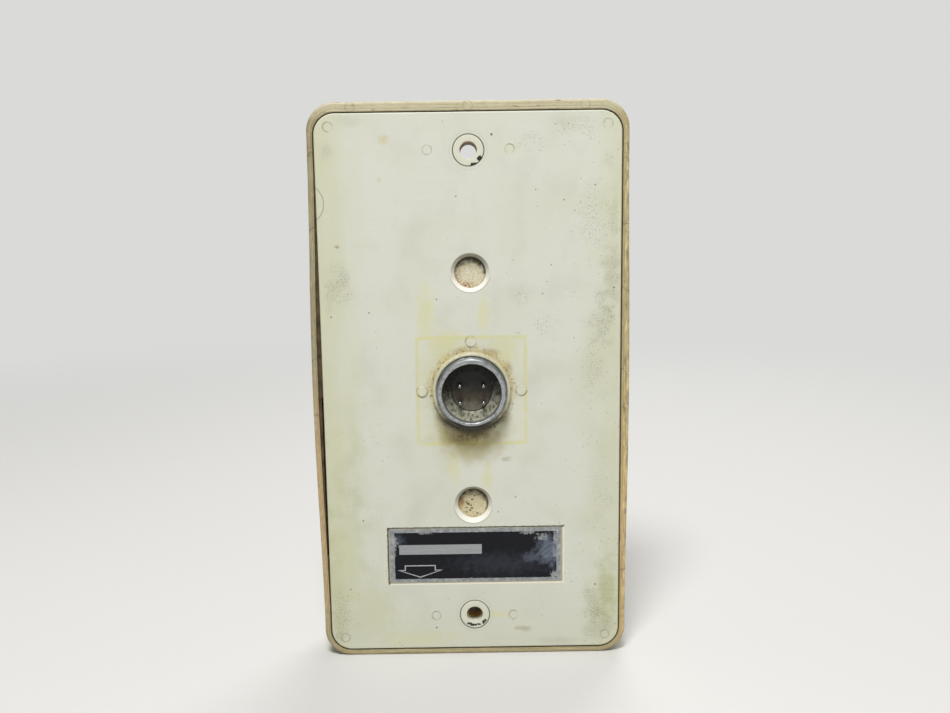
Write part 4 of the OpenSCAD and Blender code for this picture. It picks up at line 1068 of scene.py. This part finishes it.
# finishes of the nodes that keep their CAD shape
plainFinishes = {
    # polyurethane, cured in a bead: dull tan where it is whole, near black where it has broken away
    "polyurethane_cured_bead": {
        "nodes": ["edge_adhesive"], "base": "#5e4e2d", "vary": "#33291a", "rough": 0.75, "metal": 0.0, "size": 3.0,
        "bump": 0.5},
    # brass, turned and tin plated: bright worn tips
    "brass_turned_plated": {
        "nodes": ["contact_pins", "board_terminals"],
        "base": "#a9abae", "vary": "#84827a", "rough": 0.3, "metal": 1.0, "size": 1.0, "bump": 0.1},
    # nitrile, die cut: matt black sheet
    "nitrile_die_cut": {
        "nodes": ["connector_gasket"], "base": "#2b2b29", "vary": "#3a3936", "rough": 0.8, "metal": 0.0, "size": 1.5,
        "bump": 0.3},
    # steel, cold headed and zinc plated: bluish grey with soft highlights
    "steel_zinc_plated": {
        "nodes": ["flange_screws", "board_screws"],
        "base": "#a3a6a8", "vary": "#84878a", "rough": 0.35, "metal": 1.0, "size": 1.0, "bump": 0.1},
    # ferrite, pressed and fired: dense matt grey black
    "ferrite_pressed_fired": {
        "nodes": ["ferrite_core", "matching_transformers"],
        "base": "#38393b", "vary": "#46474a", "rough": 0.6, "metal": 0.0, "size": 2.0, "bump": 0.25},
    # nylon, moulded: milky cream trays
    "nylon_moulded_natural": {
        "nodes": ["former_front", "former_rear"],
        "base": "#cbc6b2", "vary": "#bdb79f", "rough": 0.5, "metal": 0.0, "size": 8.0, "bump": 0.1},
    # copper, drawn and enamelled: glossy red brown turns side by side
    "copper_wire_enamelled": {
        "nodes": ["fore_aft_winding", "lateral_winding"],
        "base": "#a4562c", "vary": "#6f3418", "rough": 0.3, "metal": 0.8, "size": 0.6, "bump": 0.6},
    # neoprene, cut from sponge: matt dark grey
    "neoprene_sponge_cut": {
        "nodes": ["core_pads"], "base": "#41423f", "vary": "#2f302e", "rough": 0.9, "metal": 0.0, "size": 0.8,
        "bump": 0.6},
    # glass epoxy, pressed sheet: mottled olive green
    "glass_epoxy_laminate": {
        "nodes": ["circuit_board"], "base": "#6e7b3c", "vary": "#5d6a33", "rough": 0.4, "metal": 0.0, "size": 0.7,
        "bump": 0.2},
    # steel, drawn and nickel plated: bright cans
    "steel_drawn_nickel_plated": {
        "nodes": ["amplifier_cans"], "base": "#b9bbbd", "vary": "#a5a7a8", "rough": 0.25, "metal": 1.0, "size": 2.0,
        "bump": 0.05},
    # epoxy, moulded: satin brown bodies
    "epoxy_moulded_brown": {
        "nodes": ["resistors"], "base": "#9a6b45", "vary": "#875a38", "rough": 0.4, "metal": 0.0, "size": 1.0,
        "bump": 0.1},
    # epoxy, dipped: glossy amber bodies
    "epoxy_dipped_amber": {
        "nodes": ["capacitors"], "base": "#b5762e", "vary": "#9c6224", "rough": 0.2, "metal": 0.0, "size": 2.0,
        "bump": 0.1},
    # vinyl, extruded: satin red and blue insulation
    "vinyl_extruded_red": {
        "nodes": ["connector_leads"], "base": "#a63a2e", "vary": "#8e3026", "rough": 0.4, "metal": 0.0, "size": 2.0,
        "bump": 0.05},
    "vinyl_extruded_blue": {
        "nodes": ["winding_leads"], "base": "#3c6e8c", "vary": "#315b75", "rough": 0.4, "metal": 0.0, "size": 2.0,
        "bump": 0.05},
}


def makePlainFinish(name, look):
    material, add, mm = startFinish(name)
    cloud = unevenness(add, mm, look["size"], detail=5.0)
    share = add("MapRange", (cloud, -0.2, 0.2))
    shade(add, {
        "Base Color": laidOver(add, look, look["base"], [(share, "vary")]),
        "Roughness": add("MapRange", (cloud, -0.2, 0.2, look["rough"] - 0.06, look["rough"] + 0.1)),
        "Normal": add("Bump", {"Height": cloud, "Strength": look["bump"], "Distance": 0.0002}),
        "Metallic": look["metal"],
    })
    return material


# Phenolic, moulded: near black brown, painted paler low down as if lit there, painted darker high up as shade with
# grease, with dirt in the joint round it
insertLook = {"base": "#3d3325", "paintedLowLight": "#767163", "greasyShade": "#0a0907"}


def makeInsertFinish():
    look = insertLook
    material, add, mm = startFinish("phenolic_moulded_brown")
    axes = add("SeparateXYZ", (mm,), out="XYZ")
    cloud = unevenness(add, mm, 2.0, detail=5.0)
    # painted light low down, painted shade with grease high up
    height = add("Math:MULTIPLY_ADD", (cloud, 7.0, axes[2]))
    paintedLowLight = add("MapRange", (height, -2.6, -7.4, 0.0, 0.95))
    greasyShade = add("MapRange", (height, -1.8, 2.6))
    plan = add("Mapping", {"Vector": mm, "Scale": (1, 0, 1)})
    radius = add("VectorMath:LENGTH", (plan,))
    joint = add("MapRange", (radius, 6.9, 7.3, 0.0, 0.8))
    colour = laidOver(add, look, look["base"], [(paintedLowLight, "paintedLowLight"), (greasyShade, "greasyShade"), (joint, "greasyShade")])
    shade(add, {
        "Base Color": colour,
        "Roughness": add("MapRange", (cloud, -0.2, 0.2, 0.4, 0.6)),
        "Normal": add("Bump", {"Height": cloud, "Strength": 0.15, "Distance": 0.0002}),
    })
    return material


# Epoxy with sand filler, cast: a grainy cream floor with dark pits, rusty stains, and a painted shadow with some dirt
# along its upper edge
pottingLook = {
    "base": "#d9d4bd", "warm": "#d3c59b", "grain": "#a59e80", "rust": "#98692c", "pit": "#3f2f1a", "dirt": "#37301b",
    "pits": [
        (0.5, -40.1, 0.5), (-0.4, -41.7, 0.45), (-1.9, -43.4, 0.75), (-2.5, -42.6, 0.45), (-2.5, -44.8, 0.5),
        (-0.9, -43.9, 0.5), (-0.5, -45.0, 0.5), (-1.2, -45.8, 0.55), (-2.6, -46.5, 0.5), (1.5, -47.0, 0.45)],
}


def makePottingFinish():
    look = pottingLook
    material, add, mm = startFinish("epoxy_sand_filled_cast")
    axes = add("SeparateXYZ", (mm,), out="XYZ")
    rough = unevenness(add, mm, 1.6, detail=6.0)
    fine = unevenness(add, mm, 0.5, detail=4.0)
    # pits in the forward floor, each a little drawn out
    pit = []
    for x, z, size in look["pits"]:
        pit.append(stain(add, mm, fine, (x, z), (size * 1.2, size * 0.9), 0.85, 2.4, 0.2))
    pit = fold(add, "MAXIMUM", pit)
    grain = add("MapRange", (fine, 0.0, 0.14, 0.0, 0.6))
    forward = add("Math:LESS_THAN", (axes[2], 0.0))
    warm = add("Math:MULTIPLY_ADD", (forward, 0.45, add("MapRange", (rough, -0.1, 0.15, 0.0, 0.8))), use_clamp=True)
    foldZ = add("Math:ABSOLUTE", (axes[2],))
    plan = add("CombineXYZ", {0: axes[0], 2: foldZ})
    away = add("Math:MULTIPLY_ADD", (rough, 3.0, add("VectorMath:DISTANCE", (plan, (0, 0, shared["fillUp"])))))
    edge = add("MapRange", (away, 4.8, 5.9, 0.0, 0.6))
    # rusty grains along the lower edge of the aft floor, and a painted shadow with some dirt along the upper edge of
    # both
    grains = add("MapRange", (fine, -0.04, 0.06))
    rust = stain(add, mm, rough, (-1.6, 38.2), (4.6, 2.4), 0.95, 1.0, grit=grains)
    rustLeft = stain(add, mm, rough, (-4.2, 41.5), (1.6, 3.6), 0.8, 1.0, grit=grains)
    rustLow = stain(add, mm, rough, (-4.4, -42.5), (1.7, 3.4), 0.75, 1.2)
    shadowCrescent = []
    for up in (shared["fillUp"], -shared["fillUp"]):
        below = add("Mapping", {"Vector": add("VectorMath:SUBTRACT", (mm, (-0.3, 0, up - 2.0))), "Scale": (1, 0, 1)})
        shadowCrescent.append(add("VectorMath:LENGTH", (below,)))
    shadowCrescent = add("Math:MULTIPLY_ADD", (rough, 3.0, fold(add, "MINIMUM", shadowCrescent)))
    shadowCrescent = add("MapRange", (shadowCrescent, 5.0, 6.6, 0.0, 0.95))
    colour = laidOver(add, look, look["base"], [
        (warm, "warm"), (grain, "grain"), (edge, "rust"), (rust, "rust"), (rustLeft, "rust"), (rustLow, "rust"),
        (shadowCrescent, "dirt"), (pit, "pit"),
    ])
    lift = add("Math:MULTIPLY_ADD", (pit, -1.0, rough))
    shade(add, {
        "Base Color": colour,
        "Roughness": add("MapRange", (fine, -0.2, 0.2, 0.6, 0.85)),
        "Normal": add("Bump", {"Height": lift, "Strength": 0.8, "Distance": 0.0005}),
    })
    return material


def dressNode(node, finish):
    mesh = cadNodes[node].data
    mesh.materials.clear()
    mesh.materials.append(finish)


for name, look in plainFinishes.items():
    finish = makePlainFinish(name, look)
    for node in look["nodes"]:
        dressNode(node, finish)
dressNode("connector_insert", makeInsertFinish())
dressNode("potting", makePottingFinish())
print("CAD nodes dressed")

# plain pale floor, soft daylight from above and in front
stageLook = {
    "floor": "#d6d5d2", "sky": "#dadad8", "ambient": 0.3, "floorUp": -0.1013, "floorReach": 6.0,
    "fade": (250.0, 1000.0),
}
floorBm = bmesh.new()
bmesh.ops.create_circle(floorBm, cap_ends=True, radius=stageLook["floorReach"], segments=96)
floorMesh = bpy.data.meshes.new("floor")
floorBm.to_mesh(floorMesh)
floorBm.free()
floor = bpy.data.objects.new("floor", floorMesh)
floor.location.z = stageLook["floorUp"]
bpy.context.collection.objects.link(floor)
floorFinish, floorAdd, floorMm = startFinish("paper_pale_matt")
floorCloud = unevenness(floorAdd, floorMm, 3.0)
paper = floorAdd("BsdfPrincipled", {
    "Base Color": stageLook["floor"],
    "Roughness": floorAdd("MapRange", (floorCloud, -0.2, 0.2, 0.8, 0.9)),
})
# far from the antenna the floor runs into the background without a line
floorPlace = floorAdd("VectorMath:LENGTH", (floorMm,))
floorFade = floorAdd("MapRange", (floorPlace, *stageLook["fade"]), interpolation_type="SMOOTHSTEP")
glow = floorAdd("Emission", {"Color": stageLook["sky"]})
floorAdd("OutputMaterial", (floorAdd("MixShader", (floorFade, paper, glow)),))
floorMesh.materials.append(floorFinish)

world = bpy.data.worlds.new("studio")
bpy.context.scene.world = world
world.use_nodes = True
world.node_tree.nodes.clear()
skyAdd = functools.partial(addNode, world.node_tree)
rays = skyAdd("LightPath", out=["Is Camera Ray", "Is Transmission Ray"])
seen = skyAdd("Math:MAXIMUM", rays)
skyStrength = skyAdd("MapRange", (seen, 0.0, 1.0, stageLook["ambient"]))
sky = skyAdd("Background", {"Color": stageLook["sky"], "Strength": skyStrength})
skyAdd("OutputWorld", {"Surface": sky})

lamps = {
    "key": {"at": (-0.12, -0.66, 1.28), "size": 0.45, "watts": 19.5},
    "fill": {"at": (0.9, -0.9, 0.25), "size": 0.9, "watts": 1.2},
    "back": {"at": (0.3, 1.0, 0.9), "size": 0.9, "watts": 9.0},
}
for name, lamp in lamps.items():
    light = bpy.data.lights.new(name, "AREA")
    light.shape = "DISK"
    light.size = lamp["size"]
    light.energy = lamp["watts"]
    stand = bpy.data.objects.new(name, light)
    stand.location = lamp["at"]
    stand.rotation_euler = (-Vector(lamp["at"])).to_track_quat("-Z", "Y").to_euler()
    bpy.context.collection.objects.link(stand)
print("stage and lamps set")
